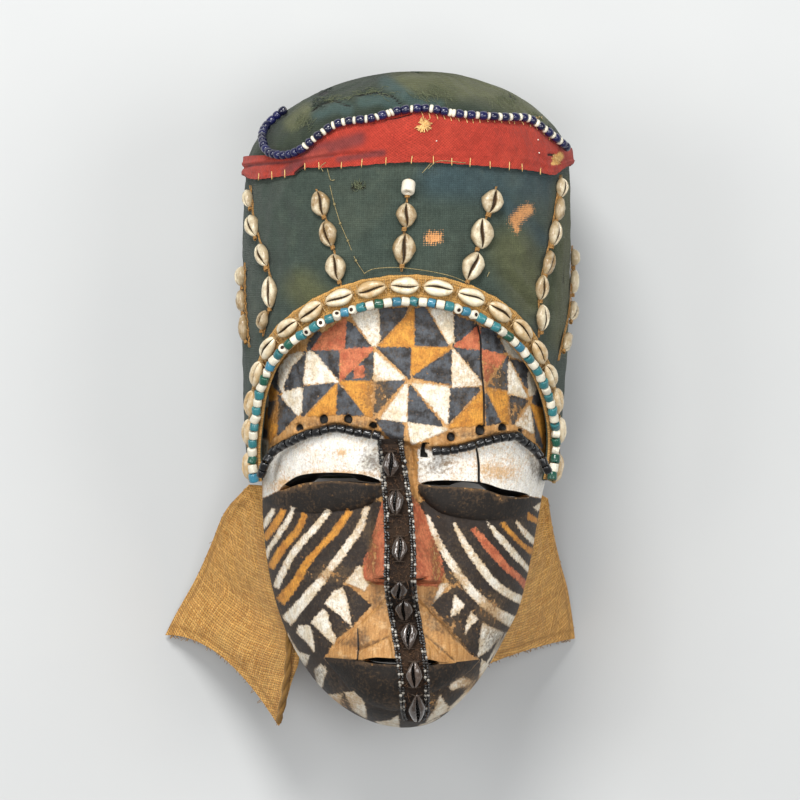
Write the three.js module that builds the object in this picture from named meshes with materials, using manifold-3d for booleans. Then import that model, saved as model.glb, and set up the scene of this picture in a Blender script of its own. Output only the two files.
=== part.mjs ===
// A Kuba woman's mask, called ngady amwaash: a carved and painted wooden face under a cloth hood,
// with cowrie shells, glass beads, a red cloth band and two neck cloths.
// It lies on the back of its hood, face up. Millimetres: +X to the right of the face as it is seen,
// +Y towards the crown, +Z out of the face. Heights above zero are measured along Z.

import * as THREE from 'three';
import Module from 'manifold-3d';
import { mergeVertices } from 'three/addons/utils/BufferGeometryUtils.js';

const wasm = await Module();
wasm.setup();

// Driving dimensions of the hood, a drum of rounded section round the Y axis
const hoodLow = -50;
const hoodTop = 150;
const crownTop = 206;
const hoodMidHeight = 98;
const hoodHalfWidth = 102.5;
const hoodFrontHeight = 207;
const hoodBackReach = 101;
const hoodSquareness = 2.4;
const hoodWall = 3;
const hoodColumns = 32;
const hoodWidestY = 80;
const hoodSideTaper = 0.00035;
const hoodFrontTaper = 0.0009;
const hoodFullestY = 60;
const hoodLean = 0.02;
const crownLean = 5;
const hoodShift = -1;

// Driving dimensions of the wooden face
const faceTop = 68;
const faceEyeLine = -50;
const faceChin = -204.4;
const faceHalfWidth = 89.4;
const rimHeight = 108;
const faceWall = 9;
const foreheadHeight = 194;
const browStep = 8;
const browSlope = 2;
const rimBow = 12;
const jawDepth = 79;
const jawDepthLoss = 0.03;
const jawRoundness = 2.4;
const chinSteepness = 12;
const noseRise = 30;
const noseTipY = -108;
const noseUnderY = -112.5;
const lidHeight = 6.5;
const lipEdge = 2.5;
const lipHeight = 9;
const eyeSlitHeight = 3.6;
const mouthSlitHeight = 3;

// Trim sizes
const archBeadRadius = 3;
const archBeadCount = 73;
const rimBeadCount = 56;
const rimBeadRadius = 2.9;
const browBeadRadius = 2.5;
const bindingInner = -1.5;
const bindingOuter = 16.5;
const clearance = 0.4;
const bindingThickness = 1.6;
const sewnGap = 0.3;
const archShellRow = 9.6;
const archShellCount = 19;
const archShell = { length: 18, width: 11, height: 5.5 };
const stringShellHeight = 6;
const threadWidth = 2;
const noseShell = { length: 18, width: 11.5, height: 5.5 };
const flapThickness = 1.8;
const weldDistance = 1e-4;

const { abs, asin, atan2, cos, max, min, PI, pow, sign, sin, sqrt } = Math;
const vec = (x = 0, y = 0, z = 0) => new THREE.Vector3(x, y, z);
const clamp = THREE.MathUtils.clamp;

// 0 below low, 1 above high, smooth between
function step(value, low, high) {
  const t = clamp((value - low) / (high - low), 0, 1);
  return t * t * (3 - 2 * t);
}

// The height of a smooth curve through [x, y] points at a given x
function curveAt(points, x) {
  const last = points.length - 1;
  if (x <= points[0][0]) return points[0][1];
  if (x >= points[last][0]) return points[last][1];
  let i = 0;
  while (x > points[i + 1][0]) i += 1;
  const [x0, y0] = points[i];
  const [x1, y1] = points[i + 1];
  const before = points[max(i - 1, 0)];
  const after = points[min(i + 2, last)];
  const slope0 = (y1 - before[1]) / (x1 - before[0]);
  const slope1 = (after[1] - y0) / (after[0] - x0);
  const width = x1 - x0;
  const t = (x - x0) / width;
  const h00 = (1 + 2 * t) * (1 - t) * (1 - t);
  const h10 = t * (1 - t) * (1 - t);
  const h01 = t * t * (3 - 2 * t);
  const h11 = t * t * (t - 1);
  return h00 * y0 + h10 * width * slope0 + h01 * y1 + h11 * width * slope1;
}

// Closed bodies from point grids

// A body from rings of points; each ring closes on itself, and both ends close on a point
function bodyOfRings(rings, startPoint, endPoint) {
  const count = rings[0].length;
  const points = [startPoint, ...rings.flat(), endPoint];
  const faces = [];
  const at = (i, j) => 1 + i * count + (j % count);
  for (let j = 0; j < count; j += 1) {
    faces.push(0, at(0, j + 1), at(0, j));
    faces.push(points.length - 1, at(rings.length - 1, j), at(rings.length - 1, j + 1));
    for (let i = 0; i + 1 < rings.length; i += 1) {
      faces.push(at(i, j), at(i, j + 1), at(i + 1, j + 1));
      faces.push(at(i, j), at(i + 1, j + 1), at(i + 1, j));
    }
  }
  return geometryOf(points, faces);
}

// A sheet with two sides, front(i, j) and back(i, j), closed round its edges
function sheetOf(columns, rows, front, back) {
  const points = [];
  const faces = [];
  const side = (columns + 1) * (rows + 1);
  for (const face of [front, back]) {
    for (let i = 0; i <= columns; i += 1) {
      for (let j = 0; j <= rows; j += 1) points.push(face(i / columns, j / rows));
    }
  }
  const at = (i, j) => i * (rows + 1) + j;
  for (let i = 0; i < columns; i += 1) {
    for (let j = 0; j < rows; j += 1) {
      const [a, b, c, d] = [at(i, j), at(i + 1, j), at(i + 1, j + 1), at(i, j + 1)];
      faces.push(a, b, c, a, c, d);
      faces.push(side + a, side + c, side + b, side + a, side + d, side + c);
    }
  }
  const edge = [];
  for (let i = 0; i < columns; i += 1) edge.push(at(i, 0));
  for (let j = 0; j < rows; j += 1) edge.push(at(columns, j));
  for (let i = columns; i > 0; i -= 1) edge.push(at(i, rows));
  for (let j = rows; j > 0; j -= 1) edge.push(at(0, j));
  edge.forEach((a, k) => {
    const b = edge[(k + 1) % edge.length];
    faces.push(a, side + a, side + b, a, side + b, b);
  });
  return geometryOf(points, faces);
}

function geometryOf(points, faces) {
  const geometry = new THREE.BufferGeometry();
  geometry.setAttribute('position', new THREE.Float32BufferAttribute(points.flatMap((p) => p.toArray()), 3));
  geometry.setIndex(faces);
  const merged = mergeVertices(geometry, weldDistance);
  const kept = [];
  const index = merged.index.array;
  for (let i = 0; i < index.length; i += 3) {
    const [a, b, c] = [index[i], index[i + 1], index[i + 2]];
    if (a !== b && b !== c && a !== c) kept.push(a, b, c);
  }
  merged.setIndex(signedVolume(merged, kept) < 0 ? kept.reverse() : kept);
  return merged;
}

// Positive where the faces of a closed body point out
function signedVolume(geometry, faces) {
  const corner = (i) => vec().fromBufferAttribute(geometry.attributes.position, i);
  let volume = 0;
  for (let i = 0; i < faces.length; i += 3) {
    volume += corner(faces[i]).dot(corner(faces[i + 1]).cross(corner(faces[i + 2]))) / 6;
  }
  return volume;
}

function toSolid(geometry) {
  const plain = geometry.clone();
  plain.deleteAttribute('normal');
  plain.deleteAttribute('uv');
  const merged = mergeVertices(plain, weldDistance);
  return new wasm.Manifold(new wasm.Mesh({
    numProp: 3,
    vertProperties: new Float32Array(merged.attributes.position.array),
    triVerts: new Uint32Array(merged.index.array),
  }));
}

function fromSolid(solid) {
  const mesh = solid.getMesh();
  const geometry = new THREE.BufferGeometry();
  geometry.setAttribute('position', new THREE.BufferAttribute(new Float32Array(mesh.vertProperties), 3));
  geometry.setIndex(new THREE.BufferAttribute(new Uint32Array(mesh.triVerts), 1));
  return geometry;
}

// The hood's outer surface, given by an angle round its axis and a place along Y

const crownShare = (y) => clamp((y - hoodTop) / (crownTop - hoodTop), 0, 1);
const crownShrink = (y, power) => sqrt(1 - pow(crownShare(y), power));
const hoodCentre = (y) => hoodShift + hoodLean * min(y, hoodTop) + crownLean * crownShare(y);

function hoodPoint(angle, y, inset = 0) {
  const along = min(y, hoodTop);
  const widthShrink = crownShrink(y, 1.7);
  const depthShrink = crownShrink(y, 2.2);
  const halfWidth = (hoodHalfWidth - hoodSideTaper * (along - hoodWidestY) ** 2 - inset) * widthShrink;
  const front = hoodFrontHeight - hoodFrontTaper * (along - hoodFullestY) ** 2 - hoodMidHeight - inset;
  const reach = (cos(angle) > 0 ? front : hoodBackReach - inset) * depthShrink;
  const round = 2 / hoodSquareness;
  const x = hoodCentre(y) + halfWidth * sign(sin(angle)) * pow(abs(sin(angle)), round);
  const z = hoodMidHeight + reach * sign(cos(angle)) * pow(abs(cos(angle)), round);
  return vec(x, y, max(z, inset));
}

function hoodNormal(angle, y) {
  const small = 0.01;
  const round = hoodPoint(angle + small, y).sub(hoodPoint(angle - small, y));
  const along = hoodPoint(angle, y + 0.3).sub(hoodPoint(angle, y - 0.3));
  return along.cross(round).normalize().negate();
}

// The angle on the hood that shows at a given x from the front
function angleAt(x, y) {
  const halfWidth = hoodPoint(PI / 2, y).x - hoodCentre(y);
  const across = clamp((x - hoodCentre(y)) / halfWidth, -0.9999, 0.9999);
  return sign(across) * asin(pow(abs(across), hoodSquareness / 2));
}

// The angle of a point in space that lies close to the hood
function angleOf(point) {
  const side = hoodPoint(PI / 2, point.y).x - hoodCentre(point.y);
  const depth = hoodPoint(0, point.y).z - hoodMidHeight;
  const power = hoodSquareness / 2;
  const across = (point.x - hoodCentre(point.y)) / side;
  const out = (point.z - hoodMidHeight) / depth;
  return atan2(sign(across) * pow(abs(across), power), sign(out) * pow(abs(out), power));
}

const onHood = (angle, y, rise) => hoodPoint(angle, y).addScaledVector(hoodNormal(angle, y), rise);

// The foot on the hood of a thing whose middle shows at x, y from the front, rise above the cloth
function footUnder(x, y, rise) {
  let foot = { angle: angleAt(x, y), y };
  for (let pass = 0; pass < 6; pass += 1) {
    const offset = hoodNormal(foot.angle, foot.y).multiplyScalar(rise);
    foot = { angle: angleAt(x - offset.x, y - offset.y), y: y - offset.y };
  }
  return foot;
}

// The arch round the forehead: the bead string's line as it shows from the front
const archLine = new THREE.CatmullRomCurve3([
  [-94, -51], [-95, -33], [-93.5, -16], [-89.5, 6.5], [-79.4, 27], [-62.5, 41], [-34, 55], [3, 60.6],
  [36, 55], [64, 39], [83, 16], [92.5, -11], [93.8, -32], [91, -50],
].map(([x, y]) => vec(x, y, 0)), false, 'centripetal');
const archRise = clearance + bindingThickness + sewnGap + archBeadRadius;

const archFeet = Array.from({ length: 121 }, (_, i) => {
  const shown = archLine.getPointAt(i / 120);
  return footUnder(shown.x, shown.y, archRise);
});
const archPath = new THREE.CatmullRomCurve3(archFeet.map((foot) => hoodPoint(foot.angle, foot.y)));
archPath.arcLengthDivisions = 400;

// A point on the arch: t runs along it, out is the distance over the cloth away from the face
function archPoint(t, out, rise) {
  const foot = archPath.getPointAt(t);
  const normal = hoodNormal(angleOf(foot), foot.y);
  const outward = archPath.getTangentAt(t).cross(normal).normalize().negate();
  const near = foot.addScaledVector(outward, out);
  return onHood(angleOf(near), near.y, rise);
}

// The wooden face: a base form with the brows, lids, nose and lips raised on it

const lowerShare = (y) => clamp((faceEyeLine - y) / (faceEyeLine - faceChin), 0, 1);
const rimAt = (y) => rimHeight + rimBow * lowerShare(y) ** 2;
const faceSquareness = (y) => 2.15 + 0.25 * step(y, -120, 0);

function faceWidthAt(y, inset = 0) {
  if (y > faceEyeLine) return faceHalfWidth + 0.02 * (y - faceEyeLine) - inset;
  const t = clamp((faceEyeLine - y) / (faceEyeLine - faceChin - inset), 0, 1);
  return (faceHalfWidth - inset) * sqrt(1 - pow(t, jawRoundness));
}

// The right cheek is narrower than the left one by this much at its edge, down the face
const cheekTrim = [[-204.4, 0], [-194.4, 7], [-175, 10.5], [-146.9, 10.3], [-132.8, 8.6], [-112.5, 8.2],
  [-87.5, 7], [-59.4, 3.5], [-45, 0]];
const trimAt = (y) => clamp(curveAt(cheekTrim, y), 0, 11);

// The x of a share of the half width, from -1 to 1, and the share that lies at x
function faceXAt(across, y, inset = 0) {
  return faceWidthAt(y, inset) * across - trimAt(y) * max(across, 0) ** 2;
}

function acrossAt(x, y) {
  const width = faceWidthAt(y);
  return (2 * x) / (width + sqrt(max(width * width - 4 * trimAt(y) * max(x, 0), 0)));
}

function faceMidAt(y, inset = 0) {
  const top = foreheadHeight - 7 * (1 - step(y, -55, -20)) - 0.0012 * max(y, 0) ** 2;
  if (y > faceEyeLine) return top - inset;
  const t = clamp((faceEyeLine - y) / (faceEyeLine - faceChin - inset), 0, 1);
  const rise = jawDepth - jawDepthLoss * (faceEyeLine - y) - inset;
  return rimAt(y) + rise * sqrt(1 - pow(t, chinSteepness));
}

// A point of the face: across runs from -1 to 1, and raise is what the carving adds to the middle height
function faceBase(across, y, inset = 0, raise = 0) {
  const squareness = faceSquareness(y);
  const drop = pow(max(1 - pow(abs(across), squareness), 0), 1 / squareness);
  const rim = rimAt(y);
  return vec(faceXAt(across, y, inset), y, rim + (faceMidAt(y, inset) + raise - rim) * drop);
}

// Lines of the carving, as they show from the front
const browLine = [[-90, -45], [-85.3, -34.8], [-79.3, -28.4], [-71.9, -24.2], [-61.7, -19.8], [-50.3, -16.9],
  [-41.8, -15.4], [-33.1, -17.2], [-24, -18.8], [-14.5, -20.7], [-2, -26], [12, -29.4], [32, -28.4],
  [43.3, -25.5], [54.4, -22.3], [64.7, -20.7], [70, -21], [79, -27.8], [84.8, -34.2], [87.9, -40.5],
  [90, -45]];
const slitLine = [[-88, -61], [-78, -56], [-64, -50], [-48, -48.5], [-31, -49], [-14, -51], [7, -51.5],
  [31, -52], [49, -53.6], [61, -57.4], [79, -60], [88, -62]];
const lidFootLine = [[-88, -64], [-71, -68.4], [-58, -70], [-40, -68.5], [-24, -65.6], [-12, -58], [0, -55],
  [8, -58], [15, -64.9], [26, -71], [43, -74], [61, -74], [76, -70], [88, -65]];
const lipTopMiddle = { x: -1.5, y: -112 };
const mouthLeft = -50;
const mouthRight = 46;
const mouthLine = [[-50, -159.5], [-24, -161], [20, -162.5], [46, -161]];
const lowerLipFoot = [[-50, -160.5], [-42, -170], [-31, -183], [-18, -189.5], [-4, -192], [15, -182],
  [26, -176.3], [38, -170], [46, -162]];
const noseLine = (y) => -6 + 6 * clamp((faceEyeLine - y) / (faceEyeLine - noseTipY), -0.4, 1);

// A lid swells from its far edge to the eye slit, and dies out at both corners of the eye
function lidRise(x, y, inner, outer) {
  const across = clamp((x - inner) / (outer - inner), 0, 1);
  const slitY = curveAt(slitLine, x);
  const edge = y >= slitY ? curveAt(browLine, x) - 1 : curveAt(lidFootLine, x);
  const share = clamp((y - slitY) / (edge - slitY), 0, 1);
  return lidHeight * pow(sin(PI * across), 0.4) * sqrt(1 - pow(share, 2.5));
}

function noseRiseAt(x, y) {
  const down = clamp((-30 - y) / (-30 - noseTipY), 0, 1);
  const halfWidth = 11 + 13.5 * pow(down, 1.3);
  const side = abs(x - noseLine(y)) / halfWidth;
  const height = browStep + (noseRise - browStep) * pow(down, 1.15);
  const section = clamp(1.3 * (1 - side), 0, 1);
  return height * section * step(y, noseUnderY - 1.5, noseUnderY + 1.5) * (1 - step(y, -32, -20));
}

// The upper lip's edge runs down from under the nose to the corners of the mouth
const lipTopAt = (x) => lipTopMiddle.y - (x < lipTopMiddle.x ? 0.98 : 1.035) * abs(x - lipTopMiddle.x);

// The upper lip is a low wedge under the nose, the lower lip a roll under the mouth
function mouthRise(x, y) {
  if (x < mouthLeft || x > mouthRight) return 0;
  const top = lipTopAt(x);
  const line = curveAt(mouthLine, x);
  const middle = 1 - abs(x - lipTopMiddle.x) / 50;
  if (y >= line) {
    const share = clamp((top - y) / max(top - line, 1), 0, 1);
    return min(lipEdge, 40 * share) + lipHeight * middle * pow(share, 0.8);
  }
  const share = clamp((line - y) / max(line - curveAt(lowerLipFoot, x), 1), 0, 1);
  return (lipEdge + lipHeight * middle) * sqrt(1 - pow(share, 2.5));
}

function carvedRise(x, y) {
  const brow = browStep * step(y, curveAt(browLine, x) - browSlope, curveAt(browLine, x) + browSlope);
  const left = lidRise(x, y, -10, -89);
  const right = lidRise(x, y, 5, 88);
  return max(brow, left, right, mouthRise(x, y), noseRiseAt(x, y));
}

function facePoint(across, y) {
  return faceBase(across, y, 0, carvedRise(faceXAt(across, y), y));
}

// The height of the wood at x, y near the middle of the face
function woodHeight(x, y) {
  return facePoint(acrossAt(x, y), y).z;
}

const stretch = (from, to, count) =>
  Array.from({ length: count }, (_, i) => from + ((to - from) * i) / count);

// The rows of the face's mesh follow the carved lines, each a height along Y at a given x
const mix = (a, b, share) => a + (b - a) * share;
const browAt = (x) => curveAt(browLine, x);
const slitAt = (x) => curveAt(slitLine, x);
const lidFootAt = (x) => min(curveAt(lidFootLine, x), slitAt(x) - 4);
const mouthAt = (x) => curveAt(mouthLine, x);
const lipRowAt = (x) => clamp(lipTopAt(x), mouthAt(x) + 5, noseUnderY - 4);
const lipFootAt = (x) => min(curveAt(lowerLipFoot, x), mouthAt(x) - 4);
const upperRow = 40;
const chinRow = -198;
const faceRows = [
  () => faceTop, () => upperRow, (x) => mix(upperRow, browAt(x), 0.5),
  (x) => browAt(x) + browSlope, (x) => browAt(x) - browSlope,
  (x) => mix(browAt(x), slitAt(x), 0.5), (x) => slitAt(x) + 0.7, (x) => slitAt(x) - 0.7,
  (x) => mix(slitAt(x), lidFootAt(x), 0.6), (x) => lidFootAt(x) + 0.7, (x) => lidFootAt(x) - 0.7,
  (x) => mix(lidFootAt(x), noseTipY, 0.4), (x) => mix(lidFootAt(x), noseTipY, 0.75), () => noseTipY,
  () => noseUnderY + 1.5, () => noseUnderY - 1.5,
  (x) => mix(noseUnderY, lipRowAt(x), 0.4), (x) => mix(noseUnderY, lipRowAt(x), 0.7), lipRowAt,
  (x) => lipRowAt(x) - 2, (x) => mix(lipRowAt(x), mouthAt(x), 0.6), (x) => mouthAt(x) + 0.5,
  (x) => mouthAt(x) - 0.5, (x) => mix(mouthAt(x), lipFootAt(x), 0.6), (x) => lipFootAt(x) + 0.6,
  (x) => lipFootAt(x) - 0.6, (x) => mix(lipFootAt(x), chinRow, 0.3), (x) => mix(lipFootAt(x), chinRow, 0.6),
  () => chinRow, () => chinRow - 4,
];

// The point of one row of the mesh that lies a share across the face
function faceRowPoint(row, across) {
  let y = row(0);
  for (let pass = 0; pass < 8; pass += 1) y = mix(y, row(faceXAt(across, y)), 0.7);
  return facePoint(across, y);
}

function woodenFace() {
  const columns = 28;
  const across = Array.from({ length: columns + 1 }, (_, j) => {
    const s = (2 * j) / columns - 1;
    return sin((PI / 2) * s * (0.5 + 0.5 * abs(s)));
  });
  const outer = bodyOfRings(
    faceRows.map((row) => across.map((a) => faceRowPoint(row, a))),
    vec(0, faceTop, rimHeight),
    vec(0, faceChin, rimAt(faceChin)),
  );
  const innerRows = [faceTop + 2, 0, -50, -100, -140, -170, -187];
  const innerColumns = 12;
  const belowRim = rimHeight - 30;
  const hollow = bodyOfRings(
    innerRows.map((y) => {
      const ring = Array.from({ length: innerColumns + 1 }, (_, j) =>
        faceBase(sin((PI / 2) * ((2 * j) / innerColumns - 1)), y, faceWall));
      const first = ring[0];
      const last = ring[innerColumns];
      return [vec(first.x, y, belowRim), ...ring, vec(last.x, y, belowRim)];
    }),
    vec(0, faceTop + 2, rimHeight),
    vec(0, faceChin + faceWall, rimHeight),
  );
  const cuts = [
    slitCutter([[-78, -56], [-64, -50], [-48, -48.5], [-31, -49], [-17, -50.5]], eyeSlitHeight),
    slitCutter([[10, -51.6], [31, -52], [49, -53.6], [61, -57.4], [79, -60]], eyeSlitHeight),
    slitCutter([[-24, -161], [-10, -161.3], [5, -161.9], [20, -162.5]], mouthSlitHeight),
  ];
  let solid = toSolid(outer).subtract(toSolid(hollow));
  for (const cut of cuts) solid = solid.subtract(toSolid(cut));
  return fromSolid(solid);
}

// A lens-shaped cutter that runs straight through the wood along a line of [x, y] points
function slitCutter(line, height) {
  const [start, end] = [line[0], line[line.length - 1]];
  const outline = new THREE.Shape();
  outline.moveTo(...start);
  line.slice(1, -1).forEach(([x, y]) => outline.lineTo(x, y + height / 2));
  outline.lineTo(...end);
  line.slice(1, -1).reverse().forEach(([x, y]) => outline.lineTo(x, y - height / 2));
  const cutter = new THREE.ExtrudeGeometry(outline, { depth: 160, bevelEnabled: false });
  return cutter.translate(0, 0, 90);
}

// The hood: a drum open at the neck, cut away in front along the arch
function drum(low, high, inset, rows) {
  const rings = Array.from({ length: rows + 1 }, (_, i) => {
    const y = low + ((high - low) * i) / rows;
    return Array.from({ length: hoodColumns }, (__, j) => hoodPoint((2 * PI * j) / hoodColumns, y, inset));
  });
  return bodyOfRings(rings, vec(0, low, hoodMidHeight), vec(0, high, hoodMidHeight));
}

function hoodCloth() {
  const opening = new THREE.Shape();
  const line = stretch(0, 1, 30).concat(1).map((t) => archPath.getPointAt(t));
  opening.moveTo(line[0].x, hoodLow - 10);
  line.forEach((p) => opening.lineTo(p.x, p.y));
  opening.lineTo(line[line.length - 1].x, hoodLow - 10);
  const cutter = new THREE.ExtrudeGeometry(opening, { depth: 130, bevelEnabled: false });
  cutter.translate(0, 0, hoodMidHeight + 4);
  const shell = toSolid(drum(hoodLow, hoodTop, 0, 4));
  const hollow = toSolid(drum(hoodLow - 1, hoodTop + 1, hoodWall, 2));
  return fromSolid(shell.subtract(hollow).subtract(toSolid(cutter)));
}

function crownCloth() {
  const rows = 4;
  const low = hoodTop + 0.3;
  const rings = Array.from({ length: rows + 1 }, (_, i) => {
    const y = low + (crownTop - low) * sin(((PI / 2) * i) / (rows + 0.6));
    return Array.from({ length: hoodColumns }, (__, j) => hoodPoint((2 * PI * j) / hoodColumns, y));
  });
  const peak = vec(hoodCentre(crownTop), crownTop, hoodMidHeight);
  const outer = bodyOfRings(rings, vec(0, low, hoodMidHeight), peak);
  const share = 1 - hoodWall / (crownTop - low);
  const middle = vec(hoodCentre(hoodTop), low - 0.2, hoodMidHeight);
  const inner = outer.clone().translate(-middle.x, -middle.y, -middle.z);
  inner.scale(1 - hoodWall / hoodHalfWidth, share, 1 - hoodWall / hoodBackReach);
  inner.translate(middle.x, middle.y - 0.2, middle.z);
  return fromSolid(toSolid(outer).subtract(toSolid(inner)));
}

// The red band across the front, its edges as they show from the front
const bandLower = [[-98, 139], [-80, 138.6], [-60, 144], [0, 146.5], [45, 144.5], [80, 143], [92, 140],
  [104, 148]];
const bandUpper = [[-98, 152], [-76, 152], [-66, 154], [-50, 166], [-40, 171], [-10, 176], [8, 179.5],
  [30, 177], [76, 174.5], [88, 167], [104, 156]];
const bandEnd = 1.8;
const bandMiddleY = 146;
const bandThickness = 1.5;
const bandLift = 1.5;

function redBand() {
  const at = (s, t, rise) => {
    const angle = bandEnd * (2 * s - 1);
    const x = hoodPoint(angle, bandMiddleY).x;
    const low = curveAt(bandLower, x);
    const y = low + (curveAt(bandUpper, x) - low) * t;
    return onHood(angle, y, rise + bandLift);
  };
  return sheetOf(24, 2, (s, t) => at(s, t, bandThickness), (s, t) => at(s, t, 0));
}

// A string of beads: each bead is a ring at its middle and a narrow ring where it meets the next
const beadNeck = 0.62;

function beadString(place, count, radius) {
  const sides = 4;
  const rings = [];
  const ringCount = 2 * count + 1;
  for (let i = 0; i < ringCount; i += 1) {
    const t = i / (ringCount - 1);
    const middle = place(t);
    const along = place(min(t + 0.004, 1)).sub(place(max(t - 0.004, 0))).normalize();
    const side = vec(0, 0, 1).cross(along).normalize();
    if (side.lengthSq() < 0.5) side.set(1, 0, 0);
    const up = along.clone().cross(side);
    const size = i % 2 === 1 ? radius : radius * beadNeck;
    rings.push(Array.from({ length: sides }, (_, k) => {
      const turn = (2 * PI * k) / sides;
      return middle.clone().addScaledVector(side, size * cos(turn)).addScaledVector(up, size * sin(turn));
    }));
  }
  return bodyOfRings(rings, place(0), place(1));
}

const archBeads = () => beadString((t) => archPoint(t, 0, archRise), archBeadCount, archBeadRadius);

const rimLine = new THREE.CatmullRomCurve3([
  [-74, 181.5], [-82, 175.5], [-88, 168], [-88.5, 161], [-85, 154], [-76, 151.5], [-66, 154], [-54, 163],
  [-42, 170.5], [-20, 174], [-4, 178.5], [14, 180], [30, 177], [60, 175], [76, 174.5], [86, 168.5], [96, 161],
  [101, 157],
].map(([x, y]) => vec(x, y, 0)), false, 'centripetal');

function rimBeads() {
  return beadString((t) => {
    const shown = rimLine.getPointAt(t);
    const onBand = step(t, 0.05, 0.13);
    const rise = clearance + rimBeadRadius + onBand * (bandLift + bandThickness);
    const foot = footUnder(shown.x, shown.y, rise);
    return onHood(foot.angle, foot.y, rise);
  }, rimBeadCount, rimBeadRadius);
}

// A brow's bead string lies in front of the lower edge of the brow
const browBeadDrop = 1.9;
const browBeadOut = 7;

function browBeads(from, to, count) {
  return beadString((t) => {
    const shown = { x: from + (to - from) * t };
    shown.y = browAt(shown.x) - browBeadDrop;
    let foot = { ...shown };
    let normal = vec();
    for (let pass = 0; pass < 8; pass += 1) {
      const across = acrossAt(foot.x, foot.y);
      const dx = faceBase(across + 0.01, foot.y).sub(faceBase(across - 0.01, foot.y));
      const dy = faceBase(across, foot.y + 0.5).sub(faceBase(across, foot.y - 0.5));
      normal = dx.cross(dy).normalize().multiplyScalar(browBeadOut);
      foot = { x: mix(foot.x, shown.x - normal.x, 0.6), y: mix(foot.y, shown.y - normal.y, 0.6) };
    }
    return faceBase(acrossAt(foot.x, foot.y), foot.y).add(normal);
  }, count, browBeadRadius);
}

// The beaded strip from the forehead over the nose to the chin
const stripTopY = -24;
const stripLowY = -199;
const stripLine = [[-200, 6.3], [-169, 5.2], [-146, 2], [-116, -2.8], [-92, -3], [-64, -4.5], [-24, -9.5]];
const stripHalf = [[-200, 6], [-192, 8.8], [-116, 9.8], [-64, 9], [-24, 7.5]];
const stripThickness = 1.4;
const stripSlope = 1.4;
const stripLift = 1;

const stripSamples = stretch(stripTopY + 1, stripLowY - 1, 177).map((y) => {
  const middle = curveAt(stripLine, y);
  const half = curveAt(stripHalf, y);
  const heights = [-1, -0.5, 0, 0.5, 1].map((s) => woodHeight(middle + half * s, y));
  return { y, z: max(...heights) };
});

// The strip's underside: it touches the wood and falls no steeper than its stiffness lets it
function stripUnder(y) {
  return max(...stripSamples.map((s) => s.z - stripSlope * abs(s.y - y))) + stripLift;
}

function noseStrip() {
  const rowsY = [stripLowY, ...stretch(-197, -122, 12), ...stretch(-122, -112, 2), ...stretch(-112, -104, 4),
    ...stretch(-104, -36, 9), -36, -30, stripTopY];
  const at = (s, t, rise) => {
    const y = rowsY[Math.round(t * (rowsY.length - 1))];
    return vec(curveAt(stripLine, y) + curveAt(stripHalf, y) * (2 * s - 1), y, stripUnder(y) + rise);
  };
  return sheetOf(1, rowsY.length - 1, (s, t) => at(s, t, stripThickness), (s, t) => at(s, t, 0));
}

// A cowrie shell, its flat side down: two rings and two ends
function cowrie(size) {
  const sides = 6;
  const ring = (x, share) => Array.from({ length: sides }, (_, k) => {
    const turn = (2 * PI * (k + 0.5)) / sides;
    const lift = sin(turn) > 0 ? 0.75 : 0.25;
    return vec(x * size.length, (share * size.width * cos(turn)) / (2 * cos(PI / sides)),
      size.height * (0.25 + lift * share * sin(turn)));
  });
  return bodyOfRings([ring(-0.24, 0.8), ring(0.18, 1)], vec(-0.5 * size.length, 0, size.height * 0.25),
    vec(0.5 * size.length, 0, size.height * 0.25));
}

// Places a shell at a point, with its length along one direction and its round side up
function placeShell(geometry, point, along, up) {
  const side = up.clone().cross(along).normalize();
  const length = side.clone().cross(up).normalize();
  const place = new THREE.Matrix4().makeBasis(length, side, up).setPosition(point);
  return geometry.applyMatrix4(place);
}

function archCowrie(index) {
  const t = (index + 0.5) / archShellCount;
  const point = archPoint(t, archShellRow, clearance + bindingThickness + sewnGap);
  const next = archPoint(min(t + 0.01, 1), archShellRow, 0);
  const along = next.sub(archPoint(max(t - 0.01, 0), archShellRow, 0)).normalize();
  return placeShell(cowrie(archShell), point, along, hoodNormal(angleOf(point), point.y));
}

function binding() {
  const at = (t, s, rise) => archPoint(1 - t, mix(bindingInner, bindingOuter, s), rise);
  const top = clearance + bindingThickness;
  return sheetOf(28, 2, (t, s) => at(t, s, top), (t, s) => at(t, s, clearance));
}

// A hanging string of cowries on the hood: one body that swells from the thread to each shell
function shellString(shown, threadTop, threadLow) {
  const sides = 6;
  const middleRise = clearance + stringShellHeight / 2;
  const place = ([x, y]) => {
    const foot = footUnder(x, y, middleRise);
    return { point: onHood(foot.angle, foot.y, middleRise), up: hoodNormal(foot.angle, foot.y) };
  };
  const thread = { width: threadWidth, height: threadWidth };
  const stations = [{ ...place(threadTop), ...thread }];
  shown.forEach(([x, y, length, width], i) => {
    const before = i === 0 ? threadTop : shown[i - 1];
    const after = i + 1 < shown.length ? shown[i + 1] : threadLow;
    const down = new THREE.Vector2(after[0] - before[0], after[1] - before[1]).normalize();
    const at = (share) => place([x + down.x * share * length, y + down.y * share * length]);
    stations.push({ ...at(-0.45), ...thread },
      { ...at(-0.24), width: 0.8 * width, height: 0.8 * stringShellHeight },
      { ...at(0.16), width, height: stringShellHeight }, { ...at(0.45), ...thread });
  });
  stations.push({ ...place(threadLow), ...thread });
  const rings = stations.map(({ point, up, width, height }, i) => {
    const before = stations[max(i - 1, 0)].point;
    const after = stations[min(i + 1, stations.length - 1)].point;
    const side = after.clone().sub(before).cross(up).normalize();
    return Array.from({ length: sides }, (_, k) => {
      const turn = (2 * PI * (k + 0.5)) / sides;
      return point.clone().addScaledVector(side, (width * cos(turn)) / 2)
        .addScaledVector(up, (height * sin(turn)) / 2);
    });
  });
  return bodyOfRings(rings, stations[0].point, stations[stations.length - 1].point);
}

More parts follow.
